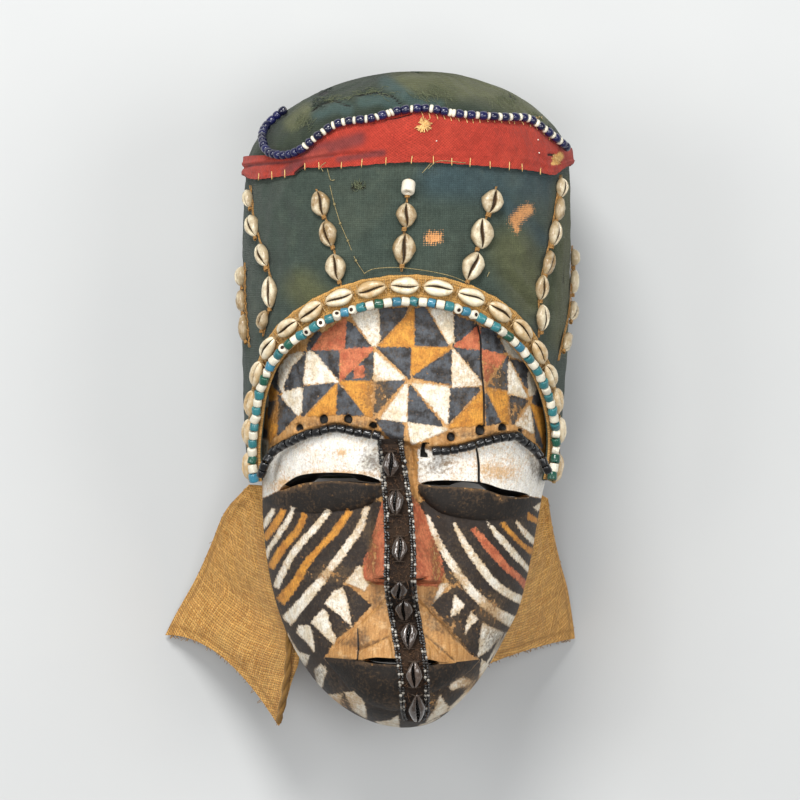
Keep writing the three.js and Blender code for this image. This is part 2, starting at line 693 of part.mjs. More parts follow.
// A shell on the nose strip lies along it, clear of the strip below it
function noseCowrie(shown) {
  const [x, y, length] = shown;
  const half = length / 2;
  const top = (at) => stripUnder(at) + stripThickness;
  const slope = (top(y + half) - top(y - half)) / length;
  const level = (at) => (top(y + half) + top(y - half)) / 2 + slope * (at - y);
  const lift = max(...[-1, -0.5, 0, 0.5, 1].map((s) => top(y + half * s) - level(y + half * s)));
  const along = vec(0, 1, slope).normalize();
  const up = vec(1, 0, 0).cross(along);
  const size = { ...noseShell, length: length * sqrt(1 + slope * slope) };
  return placeShell(cowrie(size), vec(x, y, level(y) + lift + sewnGap), along, up);
}

// A neck cloth: the edge sewn behind the jaw's rim, the free outer edge, and the bow of its foot
const clothSag = 10;

function neckCloth(inner, outer, bow, side) {
  const innerLine = new THREE.CatmullRomCurve3(inner.map((p) => vec(...p)), false, 'centripetal');
  const outerLine = new THREE.CatmullRomCurve3(outer.map((p) => vec(...p)), false, 'centripetal');
  const at = (s, t) => {
    const point = innerLine.getPointAt(t).lerp(outerLine.getPointAt(t), s);
    point.y += bow * 4 * s * (1 - s) * pow(t, 3);
    point.z -= clothSag * sin(PI * s) * sin(PI * min(t + 0.1, 1));
    return point;
  };
  const back = (s, t) => {
    const ds = at(min(s + 0.02, 1), t).sub(at(max(s - 0.02, 0), t));
    const dt = at(s, min(t + 0.02, 1)).sub(at(s, max(t - 0.02, 0)));
    const under = ds.cross(dt).normalize();
    const point = at(s, t).addScaledVector(under, side * flapThickness);
    return point.setZ(max(point.z, 0));
  };
  return side > 0 ? sheetOf(6, 6, (s, t) => at(1 - s, t), (s, t) => back(1 - s, t))
    : sheetOf(6, 6, at, back);
}

const leftCloth = {
  inner: [[-84, -54, 104.5], [-80, -100, 105], [-73, -136, 107], [-66, -158, 108], [-72, -180, 92],
    [-79, -205, 72]],
  outer: [[-98, -53, 92], [-113, -70, 66], [-122, -91, 44], [-132, -113, 22], [-146, -138, 6],
    [-152, -150, 2]],
  bow: 15,
};
const rightCloth = {
  inner: [[80, -56, 104.5], [71, -100, 105], [62, -132, 107], [52, -152, 108], [44, -168, 108]],
  outer: [[90, -62, 88], [93, -82, 64], [97.5, -102, 40], [102.5, -120, 20], [105.6, -138, 6],
    [107.5, -152, 2]],
  bow: 2,
};

// Colours and surfaces
function surface(color, roughness, metalness = 0) {
  return new THREE.MeshStandardMaterial({ color, roughness, metalness });
}
const paintedWood = surface('#8d7a5e', 0.75);
const greenCloth = surface('#3a4a44', 0.95);
const crownGreen = surface('#4a5640', 0.95);
const redCloth = surface('#b8322a', 0.9);
const raffia = surface('#bd8f52', 0.95);
const shellWhite = surface('#d9cbb0', 0.35);
const shellDark = surface('#5b524c', 0.3);
const turquoiseGlass = surface('#4f9a98', 0.2);
const blueGlass = surface('#23307a', 0.15);
const blackGlass = surface('#1d1f22', 0.2);
const darkCloth = surface('#2b211b', 0.8);

const mask = new THREE.Group();
const add = (name, geometry, material) => {
  const mesh = new THREE.Mesh(geometry, material);
  mesh.name = name;
  mask.add(mesh);
};

add('wooden_face', woodenFace(), paintedWood);
add('hood_cloth', hoodCloth(), greenCloth);
add('crown_cloth', crownCloth(), crownGreen);
add('red_band', redBand(), redCloth);
add('rim_bead_string', rimBeads(), blueGlass);
add('arch_binding', binding(), raffia);
add('arch_bead_string', archBeads(), turquoiseGlass);
for (let i = 0; i < archShellCount; i += 1) add(`arch_cowrie_${i + 1}`, archCowrie(i), shellWhite);
add('brow_beads_left', browBeads(-84.5, -16.5, 16), blackGlass);
add('brow_beads_right', browBeads(16, 84.5, 15), blackGlass);
add('nose_strip', noseStrip(), darkCloth);

// Shells on the nose strip: x, y and the length that shows
const noseShells = [[-9, -39.3, 17], [-5.8, -63.5, 17], [-3.6, -92.2, 17], [-3.6, -115.6, 11],
  [-0.6, -128.7, 15], [2.4, -145.9, 17], [5.6, -168.9, 17.5], [7.4, -188.9, 17.5]];
noseShells.forEach((shown, i) => add(`nose_cowrie_${i + 1}`, noseCowrie(shown), shellDark));

// Strings of cowries on the hood, as they show from the front: x, y, length and width of each shell.
// The middle string begins with a bead.
const strings = {
  front_string_left: [[-51.8, 120.8, 16, 12.6], [-46.1, 102.5, 16.5, 13], [-41.8, 81.7, 17, 14.5]],
  front_string_middle: [[2, 130.5, 8, 8.5], [0.2, 113.6, 15.5, 13.5], [-1.2, 92.8, 19.5, 15]],
  front_string_right: [[53.3, 122.2, 16, 14.2], [46.9, 102.5, 19, 15.6], [40.8, 82.4, 18.5, 15]],
  side_string_left: [[-95.4, 125.2, 13, 8], [-93.1, 107.8, 16.5, 11.2], [-86.6, 89.6, 17.4, 10.6],
    [-82.6, 66.6, 19.6, 11.5], [-86, 49.5, 12.5, 8.5]],
  side_string_right: [[95.3, 131.8, 13, 9], [93.4, 118.9, 15.5, 10.6], [90.8, 103.4, 16.5, 10.6],
    [86.8, 85, 16.5, 12], [83.4, 69.5, 15.5, 9.5], [83.1, 51, 16.5, 10.5]],
  edge_string_left: [[-99.8, 77, 13, 9], [-99.6, 62, 15, 11], [-98, 45, 17, 11]],
  edge_string_right: [[105.2, 89.4, 11, 8], [104.4, 74.6, 16.5, 10], [102.6, 55.6, 16.5, 10.5],
    [98.2, 36.6, 17, 11]],
};
for (const [name, shown] of Object.entries(strings)) {
  const [first, last] = [shown[0], shown[shown.length - 1]];
  const top = [first[0] + 0.25 * (first[0] - shown[1][0]), first[1] + first[2] / 2 + 1];
  const low = [last[0] + 0.25 * (last[0] - shown[shown.length - 2][0]), last[1] - last[2] / 2 - 1];
  add(name, shellString(shown, top, low), shellWhite);
}

add('neck_cloth_left', neckCloth(leftCloth.inner, leftCloth.outer, leftCloth.bow, 1), raffia);
add('neck_cloth_right', neckCloth(rightCloth.inner, rightCloth.outer, rightCloth.bow, -1), raffia);

// The origin is under the middle of the whole mask, on the surface that it lies on
const box = new THREE.Box3().setFromObject(mask);
const middle = box.getCenter(vec(0, 0, 0));
mask.position.set(-middle.x, -middle.y, -box.min.z);

export default mask;
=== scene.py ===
import math

import bmesh
import bpy
import numpy as np
from bpy.props import FloatProperty, FloatVectorProperty, PointerProperty
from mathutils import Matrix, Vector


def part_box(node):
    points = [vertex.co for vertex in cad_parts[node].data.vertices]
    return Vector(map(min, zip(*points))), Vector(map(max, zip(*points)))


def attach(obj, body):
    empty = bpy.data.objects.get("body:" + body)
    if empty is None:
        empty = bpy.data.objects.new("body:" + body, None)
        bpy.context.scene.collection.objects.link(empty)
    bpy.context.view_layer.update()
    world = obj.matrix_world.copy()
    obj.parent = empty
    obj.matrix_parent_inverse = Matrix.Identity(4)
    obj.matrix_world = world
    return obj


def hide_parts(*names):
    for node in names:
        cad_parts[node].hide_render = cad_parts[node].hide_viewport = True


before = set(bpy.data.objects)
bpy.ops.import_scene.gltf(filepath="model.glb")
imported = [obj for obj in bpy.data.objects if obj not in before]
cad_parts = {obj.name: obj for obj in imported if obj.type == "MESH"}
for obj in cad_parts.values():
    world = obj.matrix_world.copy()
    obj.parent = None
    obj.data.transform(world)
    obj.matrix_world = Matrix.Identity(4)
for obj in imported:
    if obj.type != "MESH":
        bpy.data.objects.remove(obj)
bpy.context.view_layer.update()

bl_info = {
    "name": "Kuba mask",
    "version": (1, 0, 0),
    "blender": (4, 5, 0),
    "location": "3D Viewport > Sidebar > Mask",
    "description": "Builds the surfaces of a carved and beaded ngady amwaash mask round its packed parts",
    "category": "Add Mesh",
}

# Lengths are millimetres in the mask's own view: x to the right of the face, y towards the crown,
# z out of the face. place() takes such points to the frame, in metres.
mm = 0.001

# Hood
hood_low = -50
hood_top = 150
crown_top = 206
crown_pole = crown_top - 0.05
hood_mid_height = 98
hood_half_width = 102.5
hood_front_height = 207
hood_back_reach = 101
hood_squareness = 2.4
hood_wall = 3
hood_widest_y = 80
hood_side_taper = 0.00035
hood_front_taper = 0.0009
hood_fullest_y = 60
hood_lean = 0.02
crown_lean = 5
hood_shift = -1

# Wooden face
face_top = 68
face_eye_line = -50
face_chin = -204.4
face_half_width = 89.4
rim_height = 108
rim_bow = 12
face_wall = 9
forehead_height = 194
brow_step = 8
brow_slope = 2
jaw_depth = 79
jaw_depth_loss = 0.03
jaw_roundness = 2.4
chin_steepness = 12
nose_rise = 30
nose_tip_y = -108
nose_under_y = -112.5
lid_height = 6.5
lip_edge = 2.5
lip_height = 9
eye_slit = 3.6
mouth_slit = 3

# Lines of the carving, as they show from the front
brow_line = [(-90, -45), (-85.3, -34.8), (-79.3, -28.4), (-71.9, -24.2), (-61.7, -19.8), (-50.3, -16.9),
             (-41.8, -15.4), (-33.1, -17.2), (-24, -18.8), (-14.5, -20.7), (-2, -26), (12, -29.4),
             (32, -28.4), (43.3, -25.5), (54.4, -22.3), (64.7, -20.7), (70, -21), (79, -27.8),
             (84.8, -34.2), (87.9, -40.5), (90, -45)]
slit_line = [(-88, -61), (-78, -56), (-64, -50), (-48, -48.5), (-31, -49), (-14, -51), (7, -51.5),
             (31, -52), (49, -53.6), (61, -57.4), (79, -60), (88, -62)]
lid_foot_line = [(-88, -64), (-71, -68.4), (-58, -70), (-40, -68.5), (-24, -65.6), (-12, -58), (0, -55),
                 (8, -58), (15, -64.9), (26, -71), (43, -74), (61, -74), (76, -70), (88, -65)]
mouth_line = [(-50, -159.5), (-24, -161), (20, -162.5), (46, -161)]
lip_foot_line = [(-50, -160.5), (-42, -170), (-31, -183), (-18, -189.5), (-4, -192), (15, -182),
                 (26, -176.3), (38, -170), (46, -162)]
lip_top_x, lip_top_y = -1.5, -112
mouth_left, mouth_right, mouth_y = -50, 46, -161
lip_slopes = (0.98, 1.035)
nose_root_y, nose_root_half_width, nose_flare = -30, 11, 13.5
# Where each lid starts beside the nose and where it ends
lid_ends = [(-10, -89), (5, 88)]
# The ledge of the upper lip: its peak, how steeply it falls to each side, and how high it stands
ledge_x, ledge_y, ledge_step = 1.5, -135.2, 2
ledge_slopes = (0.69, 1.036)
hole_depth, crack_depth, groove_depth = 3.4, 0.9, 0.8

face_low, face_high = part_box("wooden_face")
origin = np.array([(face_low.x + face_high.x) / 2 / mm, face_high.y / mm - face_top, 0.0])


def place(points):
    """Points of the mask's own view in the frame, in metres."""
    return (np.asarray(points, float) + origin) * mm


def linear(code):
    """An sRGB hex colour as linear red, green and blue."""
    values = [int(code[i:i + 2], 16) / 255 for i in (1, 3, 5)]
    return tuple(v / 12.92 if v <= 0.04045 else ((v + 0.055) / 1.055) ** 2.4 for v in values)


def step(value, low, high):
    """0 below low, 1 above high, smooth between."""
    t = np.clip((value - low) / (high - low), 0, 1)
    return t * t * (3 - 2 * t)


def mix(a, b, share):
    return a + (b - a) * share


def curve_at(points, x):
    """The height of a smooth curve through (x, y) points at a given x."""
    px, py = np.array(points, float).T
    count = len(px)
    before = np.maximum(np.arange(count) - 1, 0)
    after = np.minimum(np.arange(count) + 1, count - 1)
    slope = (py[after] - py[before]) / (px[after] - px[before])
    x = np.clip(x, px[0], px[-1])
    i = np.clip(np.searchsorted(px, x) - 1, 0, count - 2)
    width = px[i + 1] - px[i]
    t = (x - px[i]) / width
    start = (1 + 2 * t) * (1 - t) ** 2 * py[i] + t * (1 - t) ** 2 * width * slope[i]
    end = t * t * (3 - 2 * t) * py[i + 1] + t * t * (t - 1) * width * slope[i + 1]
    return start + end


def smooth_line(points, count=400):
    """A centripetal curve through points, as count points evenly spaced along its length."""
    p = np.array(points, float)
    p = np.vstack([2 * p[0] - p[1], p, 2 * p[-1] - p[-2]])
    gaps = np.maximum(np.linalg.norm(np.diff(p, axis=0), axis=1) ** 0.5, 1e-6)
    pieces = []
    for i in range(1, len(p) - 2):
        before, span, after = gaps[i - 1:i + 2]
        a = (((p[i] - p[i - 1]) / before - (p[i + 1] - p[i - 1]) / (before + span) + (p[i + 1] - p[i])
              / span))
        b = ((p[i + 1] - p[i]) / span - (p[i + 2] - p[i]) / (span + after) + (p[i + 2] - p[i + 1]) / after)
        a, b = a * span, b * span
        t = np.linspace(0, 1, 24, endpoint=False)[:, None]
        pieces.append((2 * t ** 3 - 3 * t ** 2 + 1) * p[i] + (t ** 3 - 2 * t ** 2 + t) * a
                      + (3 * t ** 2 - 2 * t ** 3) * p[i + 1] + (t ** 3 - t ** 2) * b)
    return spread(np.vstack([*pieces, p[-2:-1]]), count)


def spread(line, count):
    """count points evenly spaced along a line of points."""
    line = np.asarray(line, float)
    along = np.concatenate([[0], np.cumsum(np.linalg.norm(np.diff(line, axis=0), axis=1))])
    at = np.linspace(0, along[-1], count)
    return np.stack([np.interp(at, along, line[:, k]) for k in range(line.shape[1])], axis=1)


def unit(vectors):
    return vectors / np.maximum(np.linalg.norm(vectors, axis=-1, keepdims=True), 1e-12)


def ripple(seed, *axes):
    """Smooth unevenness from about -1 to 1: a sum of waves over axes given in wave lengths."""
    draw = np.random.default_rng(seed)
    total = np.zeros(np.broadcast(*axes).shape)
    for octave in range(3):
        for _ in range(5):
            lean = draw.normal(size=len(axes))
            lean *= 2 ** octave * 2 * math.pi / np.linalg.norm(lean)
            wave = sum(k * a for k, a in zip(lean, axes))
            total += np.sin(wave + draw.uniform(0, 2 * math.pi)) / 2 ** octave
    return total / 5


def grid(rows, columns, wrap=False, wrap_rows=False):
    """The faces of a grid of points, row by row; wrap joins the last column to the first."""
    row = np.arange(rows if wrap_rows else rows - 1)[:, None]
    column = np.arange(columns if wrap else columns - 1)[None, :]
    over, beside = (row + 1) % rows, (column + 1) % columns
    corners = [row * columns + column, row * columns + beside, over * columns + beside, over * columns
               + column]
    return np.stack(corners, -1).reshape(-1, 4)


class Shape:
    """Points and faces that become one mesh, with values kept per point under their names."""

    def __init__(self):
        self.points, self.faces, self.marks, self.values = [], [], [], []
        self.count = 0

    def add(self, points, faces, mark=0, **values):
        """Adds faces over their own points, in material number mark, and returns the first point's number."""
        points = np.asarray(points, float).reshape(-1, 3)
        start = self.count
        self.points.append(points)
        self.count += len(points)
        self.join(np.asarray(faces) + start, mark)
        for name, value in values.items():
            self.values.append((name, start, np.asarray(value, float), len(points)))
        return start

    def join(self, faces, mark=0):
        """Adds faces over points that are there already."""
        self.faces += np.asarray(faces).tolist()
        self.marks += [mark] * len(faces)

    def piece(self, name, slot, materials, replaces=(), crease=None):
        """The finished object. Edges sharper than crease, in degrees, stay sharp."""
        mesh = bpy.data.meshes.new(name)
        mesh.from_pydata(place(np.vstack(self.points)).tolist(), [], self.faces)
        for material in materials:
            mesh.materials.append(material)
        mesh.polygons.foreach_set("material_index", self.marks)
        for label in sorted({v[0] for v in self.values}):
            parts = [v for v in self.values if v[0] == label]
            wide = any(value.ndim > 1 for _, _, value, _ in parts)
            full = np.zeros((self.count, 3) if wide else self.count)
            for _, start, value, length in parts:
                full[start:start + length] = value
            kind, field = ("FLOAT_VECTOR", "vector") if wide else ("FLOAT", "value")
            mesh.attributes.new(label, kind, "POINT").data.foreach_set(field, full.ravel())
        tidy = bmesh.new()
        tidy.from_mesh(mesh)
        bmesh.ops.remove_doubles(tidy, verts=tidy.verts, dist=1e-7)
        bmesh.ops.recalc_face_normals(tidy, faces=tidy.faces)
        tidy.to_mesh(mesh)
        tidy.free()
        mesh.shade_smooth()
        if crease:
            mesh.set_sharp_from_angle(angle=math.radians(crease))
        made = bpy.data.objects.new(name, mesh)
        bpy.context.scene.collection.objects.link(made)
        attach(made, "root")
        if replaces:
            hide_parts(*replaces)
        return made


def plain_grid(surface, first, second, count=160):
    """A surface of two values as a grid of points, over the range of each."""
    return surface(*np.meshgrid(np.linspace(*first, count), np.linspace(*second, count), indexing="ij"))


def tube(shape, line, radius, sides=6, mark=0, **values):
    """A round thread along a line of points, closed at both ends; its radius may change along it."""
    line = np.asarray(line, float)
    radius = np.broadcast_to(radius, len(line))
    along = unit(np.gradient(line, axis=0))
    side = unit(np.cross(along[0], [0.31, 0.52, 0.79]))
    turn = np.linspace(0, 2 * math.pi, sides, endpoint=False)[:, None]
    rings = []
    for point, ahead, size in zip(line, along, radius):
        side = unit(side - np.dot(side, ahead) * ahead)
        rings.append(point + size * (np.cos(turn) * side + np.sin(turn) * np.cross(ahead, side)))
    start = shape.add(np.vstack([*rings, line[0], line[-1]]), grid(len(line), sides, wrap=True), mark,
                      **values)
    last = start + (len(line) - 1) * sides
    near, far = start + len(line) * sides, start + len(line) * sides + 1
    around = np.arange(sides)
    beside = (around + 1) % sides
    shape.join(np.stack([np.full(sides, near), start + beside, start + around], 1), mark)
    shape.join(np.stack([np.full(sides, far), last + around, last + beside], 1), mark)


def set_in(points, centre, along, up):
    """Local points (x along, y aside, z up) set at a centre."""
    side = unit(np.cross(up, along))
    up = unit(np.cross(along, side))
    basis = np.stack([unit(along), side, up])
    return centre + np.asarray(points) @ basis


def outside(outline, x, y):
    """The distance of points from a closed outline, negative inside it."""
    outline = np.array(outline, float)
    nearest = np.full(x.shape, np.inf)
    inside = np.zeros(x.shape, bool)
    for (ax, ay), (bx, by) in zip(outline, np.roll(outline, -1, axis=0)):
        ex, ey = bx - ax, by - ay
        share = np.clip(((x - ax) * ex + (y - ay) * ey) / max(ex * ex + ey * ey, 1e-9), 0, 1)
        nearest = np.minimum(nearest, np.hypot(x - ax - share * ex, y - ay - share * ey))
        if ay != by:
            inside ^= ((ay > y) != (by > y)) & (x < ax + (y - ay) * ex / ey)
    return np.where(inside, -nearest, nearest)


def stroke(line, width):
    """The outline of a brush stroke along a line; width may change along it."""
    line = smooth_line(line, 4 * len(line)) if len(line) > 2 else np.array(line, float)
    ahead = unit(np.gradient(line, axis=0))
    share = np.linspace(0, 1, len(line))
    half = np.interp(share, np.linspace(0, 1, np.size(width)), np.ravel(width)) / 2
    aside = np.stack([-ahead[:, 1], ahead[:, 0]], 1) * half[:, None]
    return np.vstack([line + aside, (line - aside)[::-1]])


# Wooden face

def lower_share(y):
    return np.clip((face_eye_line - y) / (face_eye_line - face_chin), 0, 1)


def rim_at(y):
    return rim_height + rim_bow * lower_share(y) ** 2


def face_width_at(y, inset=0):
    upper = face_half_width + 0.02 * (y - face_eye_line) - inset
    t = np.clip((face_eye_line - y) / (face_eye_line - face_chin - inset), 0, 1)
    return np.where(y > face_eye_line, upper, (face_half_width - inset) * np.sqrt(1 - t ** jaw_roundness))


# The right cheek is narrower than the left one by this much at its edge, down the face
cheek_trim = [(-204.4, 0), (-194.4, 7), (-175, 10.5), (-146.9, 10.3), (-132.8, 8.6), (-112.5, 8.2),
              (-87.5, 7), (-59.4, 3.5), (-45, 0)]


def trim_at(y):
    return np.clip(curve_at(cheek_trim, y), 0, 11)


def face_x_at(across, y, inset=0):
    return face_width_at(y, inset) * across - trim_at(y) * np.maximum(across, 0) ** 2


def across_at(x, y):
    """The share of the face's half width, from -1 to 1, that lies at x."""
    width = face_width_at(y)
    return 2 * x / (width + np.sqrt(np.maximum(width ** 2 - 4 * trim_at(y) * np.maximum(x, 0), 0)))


def face_mid_at(y, inset=0):
    top = forehead_height - 7 * (1 - step(y, -55, -20)) - 0.0012 * np.maximum(y, 0) ** 2 - inset
    t = np.clip((face_eye_line - y) / (face_eye_line - face_chin - inset), 0, 1)
    rise = jaw_depth - jaw_depth_loss * (face_eye_line - y) - inset
    return np.where(y > face_eye_line, top, rim_at(y) + rise * np.sqrt(1 - t ** chin_steepness))


def face_base(across, y, inset=0, rise=0):
    """A point of the face; rise is what the carving adds to its middle height."""
    power = 2.15 + 0.25 * step(y, -120, 0)
    drop = np.maximum(1 - np.abs(across) ** power, 0) ** (1 / power)
    rim = rim_at(y)
    z = rim + (face_mid_at(y, inset) + rise - rim) * drop
    return np.stack(np.broadcast_arrays(face_x_at(across, y, inset), y, z), -1)


def nose_line(y):
    return -6 + 6 * np.clip((face_eye_line - y) / (face_eye_line - nose_tip_y), -0.4, 1)


def lid_rise(x, y, inner, outer):
    across = np.clip((x - inner) / (outer - inner), 0, 1)
    slit_y = curve_at(slit_line, x)
    edge = np.where(y >= slit_y, curve_at(brow_line, x) - 1, curve_at(lid_foot_line, x))
    share = np.clip((y - slit_y) / (edge - slit_y), 0, 1)
    return lid_height * np.sin(math.pi * across) ** 0.4 * np.sqrt(1 - share ** 2.5)


def nose_rise_at(x, y):
    down = np.clip((nose_root_y - y) / (nose_root_y - nose_tip_y), 0, 1)
    half_width = nose_root_half_width + nose_flare * down ** 1.3
    side = np.abs(x - nose_line(y)) / half_width
    height = brow_step + (nose_rise - brow_step) * down ** 1.15
    section = np.clip(1.3 * (1 - side), 0, 1)
    return height * section * step(y, nose_under_y - 1.5, nose_under_y + 1.5) * (1 - step(y, -32, -20))


def lip_top_at(x):
    return lip_top_y - np.where(x < lip_top_x, *lip_slopes) * np.abs(x - lip_top_x)


def mouth_rise(x, y):
    line = curve_at(mouth_line, x)
    top = lip_top_at(x)
    middle = 1 - np.abs(x - lip_top_x) / 50
    share = np.clip((top - y) / np.maximum(top - line, 1), 0, 1)
    upper = np.minimum(lip_edge, 40 * share) + lip_height * middle * share ** 0.8
    low = np.clip((line - y) / np.maximum(line - curve_at(lip_foot_line, x), 1), 0, 1)
    lower = (lip_edge + lip_height * middle) * np.sqrt(1 - low ** 2.5)
    return np.where((x < mouth_left) | (x > mouth_right), 0, np.where(y >= line, upper, lower))


def carved_rise(x, y):
    brow = brow_step * step(y, curve_at(brow_line, x) - brow_slope, curve_at(brow_line, x) + brow_slope)
    lids = np.maximum(*[lid_rise(x, y, *ends) for ends in lid_ends])
    return np.maximum.reduce([brow, lids, mouth_rise(x, y), nose_rise_at(x, y)])


def wood_point(x, y, out=0):
    """The point of the wood that shows at x, y, moved out of it along the base form's normal."""
    across = across_at(x, y)
    point = face_base(across, y, 0, carved_rise(x, y))
    aside = face_base(across + 0.01, y) - face_base(across - 0.01, y)
    upward = face_base(across, y + 0.5) - face_base(across, y - 0.5)
    return point + out * unit(np.cross(aside, upward))


# The paint, in outlines and strokes as they show from the front. A stroke is a line and its widths.

forehead_paint = {
    "black": [
        [(-60, 31), (-59, 36), (-54, 42), (-51, 40), (-57, 31.3)],
        [(-38, 31.6), (-36.5, 48), (-32, 45.5), (-20.5, 32)],
        [(-15.5, 56), (1, 56), (-2, 50.5), (-15.8, 36)],
        [(6.5, 56), (12.5, 56), (26.5, 32.6), (6, 34.2)],
        [(30.5, 52), (45, 46), (30.2, 33.2)],
        [(47.2, 44.5), (54, 43), (62, 30), (55, 28.6), (47.8, 31)],
        [(-83, 11.5), (-78.6, 20), (-77, 13), (-77.4, 5), (-80.5, 8)],
        [(-61.8, 30), (-63, 8.7), (-74, 5.5), (-75, 10), (-69.5, 21)],
        [(-57, 30.8), (-41, 31), (-41.2, 13)],
        [(-20, 29.2), (-19.6, 12.5), (-38, 12)],
        [(-16.3, 32.5), (3.6, 32.7), (2.4, 14)],
        [(28.6, 30.6), (28.6, 10), (5, 14.6)],
        [(31.3, 31.5), (45.8, 31), (47.6, 12)],
        [(63.4, 26.5), (63, 6.4), (51, 8)],
        [(65.6, 25), (75.5, 22), (76, 7.5)],
        [(80, 3), (84, 8), (87, 1), (84.5, -5), (79.5, -1.5)],
        [(-85, -0.5), (-79.6, -1.4), (-84, -13), (-85.4, -9)],
        [(-78.4, 2.5), (-76.6, 1), (-67.5, -9), (-78.5, -21), (-79.8, -18)],
        [(-63, 7.5), (-44, 10.3), (-63.4, -9.6)],
        [(-41, 9.2), (-25.6, -9), (-42.5, -8)],
        [(-18.6, 11), (-1, 12), (-18.8, -9)],
        [(3, 8.5), (22.5, -16), (2, -13.4)],
        [(27.6, 7.3), (45.6, 7), (27, -14)],
        [(50.2, 3), (59, -13.6), (50.2, -15)],
        [(64.8, 3), (75.4, -0.5), (68, -14), (65.6, -14)],
        [(-17.5, -13), (-2, -13), (-1.2, -31), (-11, -21)],
        [(77.5, -5), (80, -10), (86.6, -31), (82, -26)],
        [(87.4, -7), (90.4, -12), (87.4, -24)],
        [(-90, -9), (-86.6, -16), (-86, -22), (-92, -24)],
    ],
    "ochre": [
        [(5, 56), (5, 33.4), (-15.5, 33.6), (0, 50)],
        [(4.6, 32.2), (27.3, 32), (4.6, 16)],
        [(-85.4, 9), (-80.6, 5), (-81.4, 0.6), (-85.4, 0.2)],
        [(-89.4, -3), (-86.2, -4), (-86.6, -17), (-90, -13)],
        [(-79.4, -3), (-84.3, -14), (-84.6, -27), (-79.8, -19)],
        [(-42.6, 8.8), (-43.6, -8.6), (-60, -9.4)],
        [(-39, 11), (-20.3, 11), (-20.6, -9.6), (-24, -9.2)],
        [(48, 5), (49, -15), (28, -16.4)],
        [(51, 7), (63, 5), (64.6, -14.4), (60.6, -14)],
        [(78.4, -3), (85.6, -6), (89, -8), (86.6, -27), (81, -10)],
        [(85.8, -33), (89, -20), (91, -20), (90, -39)],
    ],
    "red": [
        [(-57, 31.6), (-50, 41), (-37, 50), (-38.2, 31.8)],
        [(45.2, 45), (46, 31.8), (31.4, 33.4)],
        [(-39.3, 31), (-20, 31.6), (-39.6, 13)],
        [(48.2, 30.3), (62, 27.2), (50.2, 11)],
        [(-30, 20), (-26, 20.5), (-25.5, 15), (-31, 14)],
    ],
    "white": [
        [(-32.5, 52), (-17, 56), (-16.2, 37), (-18.4, 34), (-20, 34.2)],
        [(15.8, 56), (29, 54), (29.4, 35.6), (27.3, 35.4)],
        [(60.5, 37), (68, 34), (76.5, 25), (75, 24.2), (67, 27), (64, 29.4)],
        [(-66, 29), (-63.6, 28.6), (-70.5, 21.5), (-76, 10), (-76, 5.2), (-78, 9), (-77.6, 19), (-72, 27)],
        [(-60, 29.6), (-57, 29.2), (-42, 11.8), (-62, 10.2)],
        [(-18.4, 29), (-0.6, 13.4), (-18.6, 12.2)],
        [(29.8, 30.6), (47.5, 9.6), (29.6, 8.6)],
        [(64.4, 23), (75, 2), (64.2, 4.6)],
        [(76.6, 17), (82, 11), (80, 4), (77.4, 3)],
        [(-64, 7.2), (-74.6, 4.4), (-76.2, 2), (-66.3, -9), (-64.4, -7)],
        [(0.9, 9.6), (0.4, -13), (-14.6, -11)],
        [(5, 9.8), (27, 7.6), (25.8, -14)],
        [(77, -4), (79.4, -20), (69, -14.6)],
        [(2.4, -14.6), (25.6, -18), (4.4, -27)],
        [(-88.4, 3), (-85.6, 3), (-86, -3.6), (-89.4, -2.4)],
        [(-90, -24), (-85.6, -26), (-86.4, -40), (-92, -40)],
        [(75.6, 24), (80, 20), (84, 12), (82.6, 11)],
    ],
}

cheek_background = [(-11, -63), (-15.5, -77), (-20, -93), (-24, -101), (-31, -107), (-38.4, -114),
                    (-35, -115), (-27, -121.5), (-20.6, -127), (-26, -132.5), (-33, -141), (-42, -148),
                    (-50, -159.6), (-24, -161), (-24, -163), (20, -164.5), (46, -161), (42, -158),
                    (33, -148), (22, -134), (16.4, -127), (21, -121), (28.6, -117), (24, -109), (20, -101),
                    (16, -90), (12, -77), (8, -63), (120, -55), (120, -230), (-120, -230), (-120, -55)]

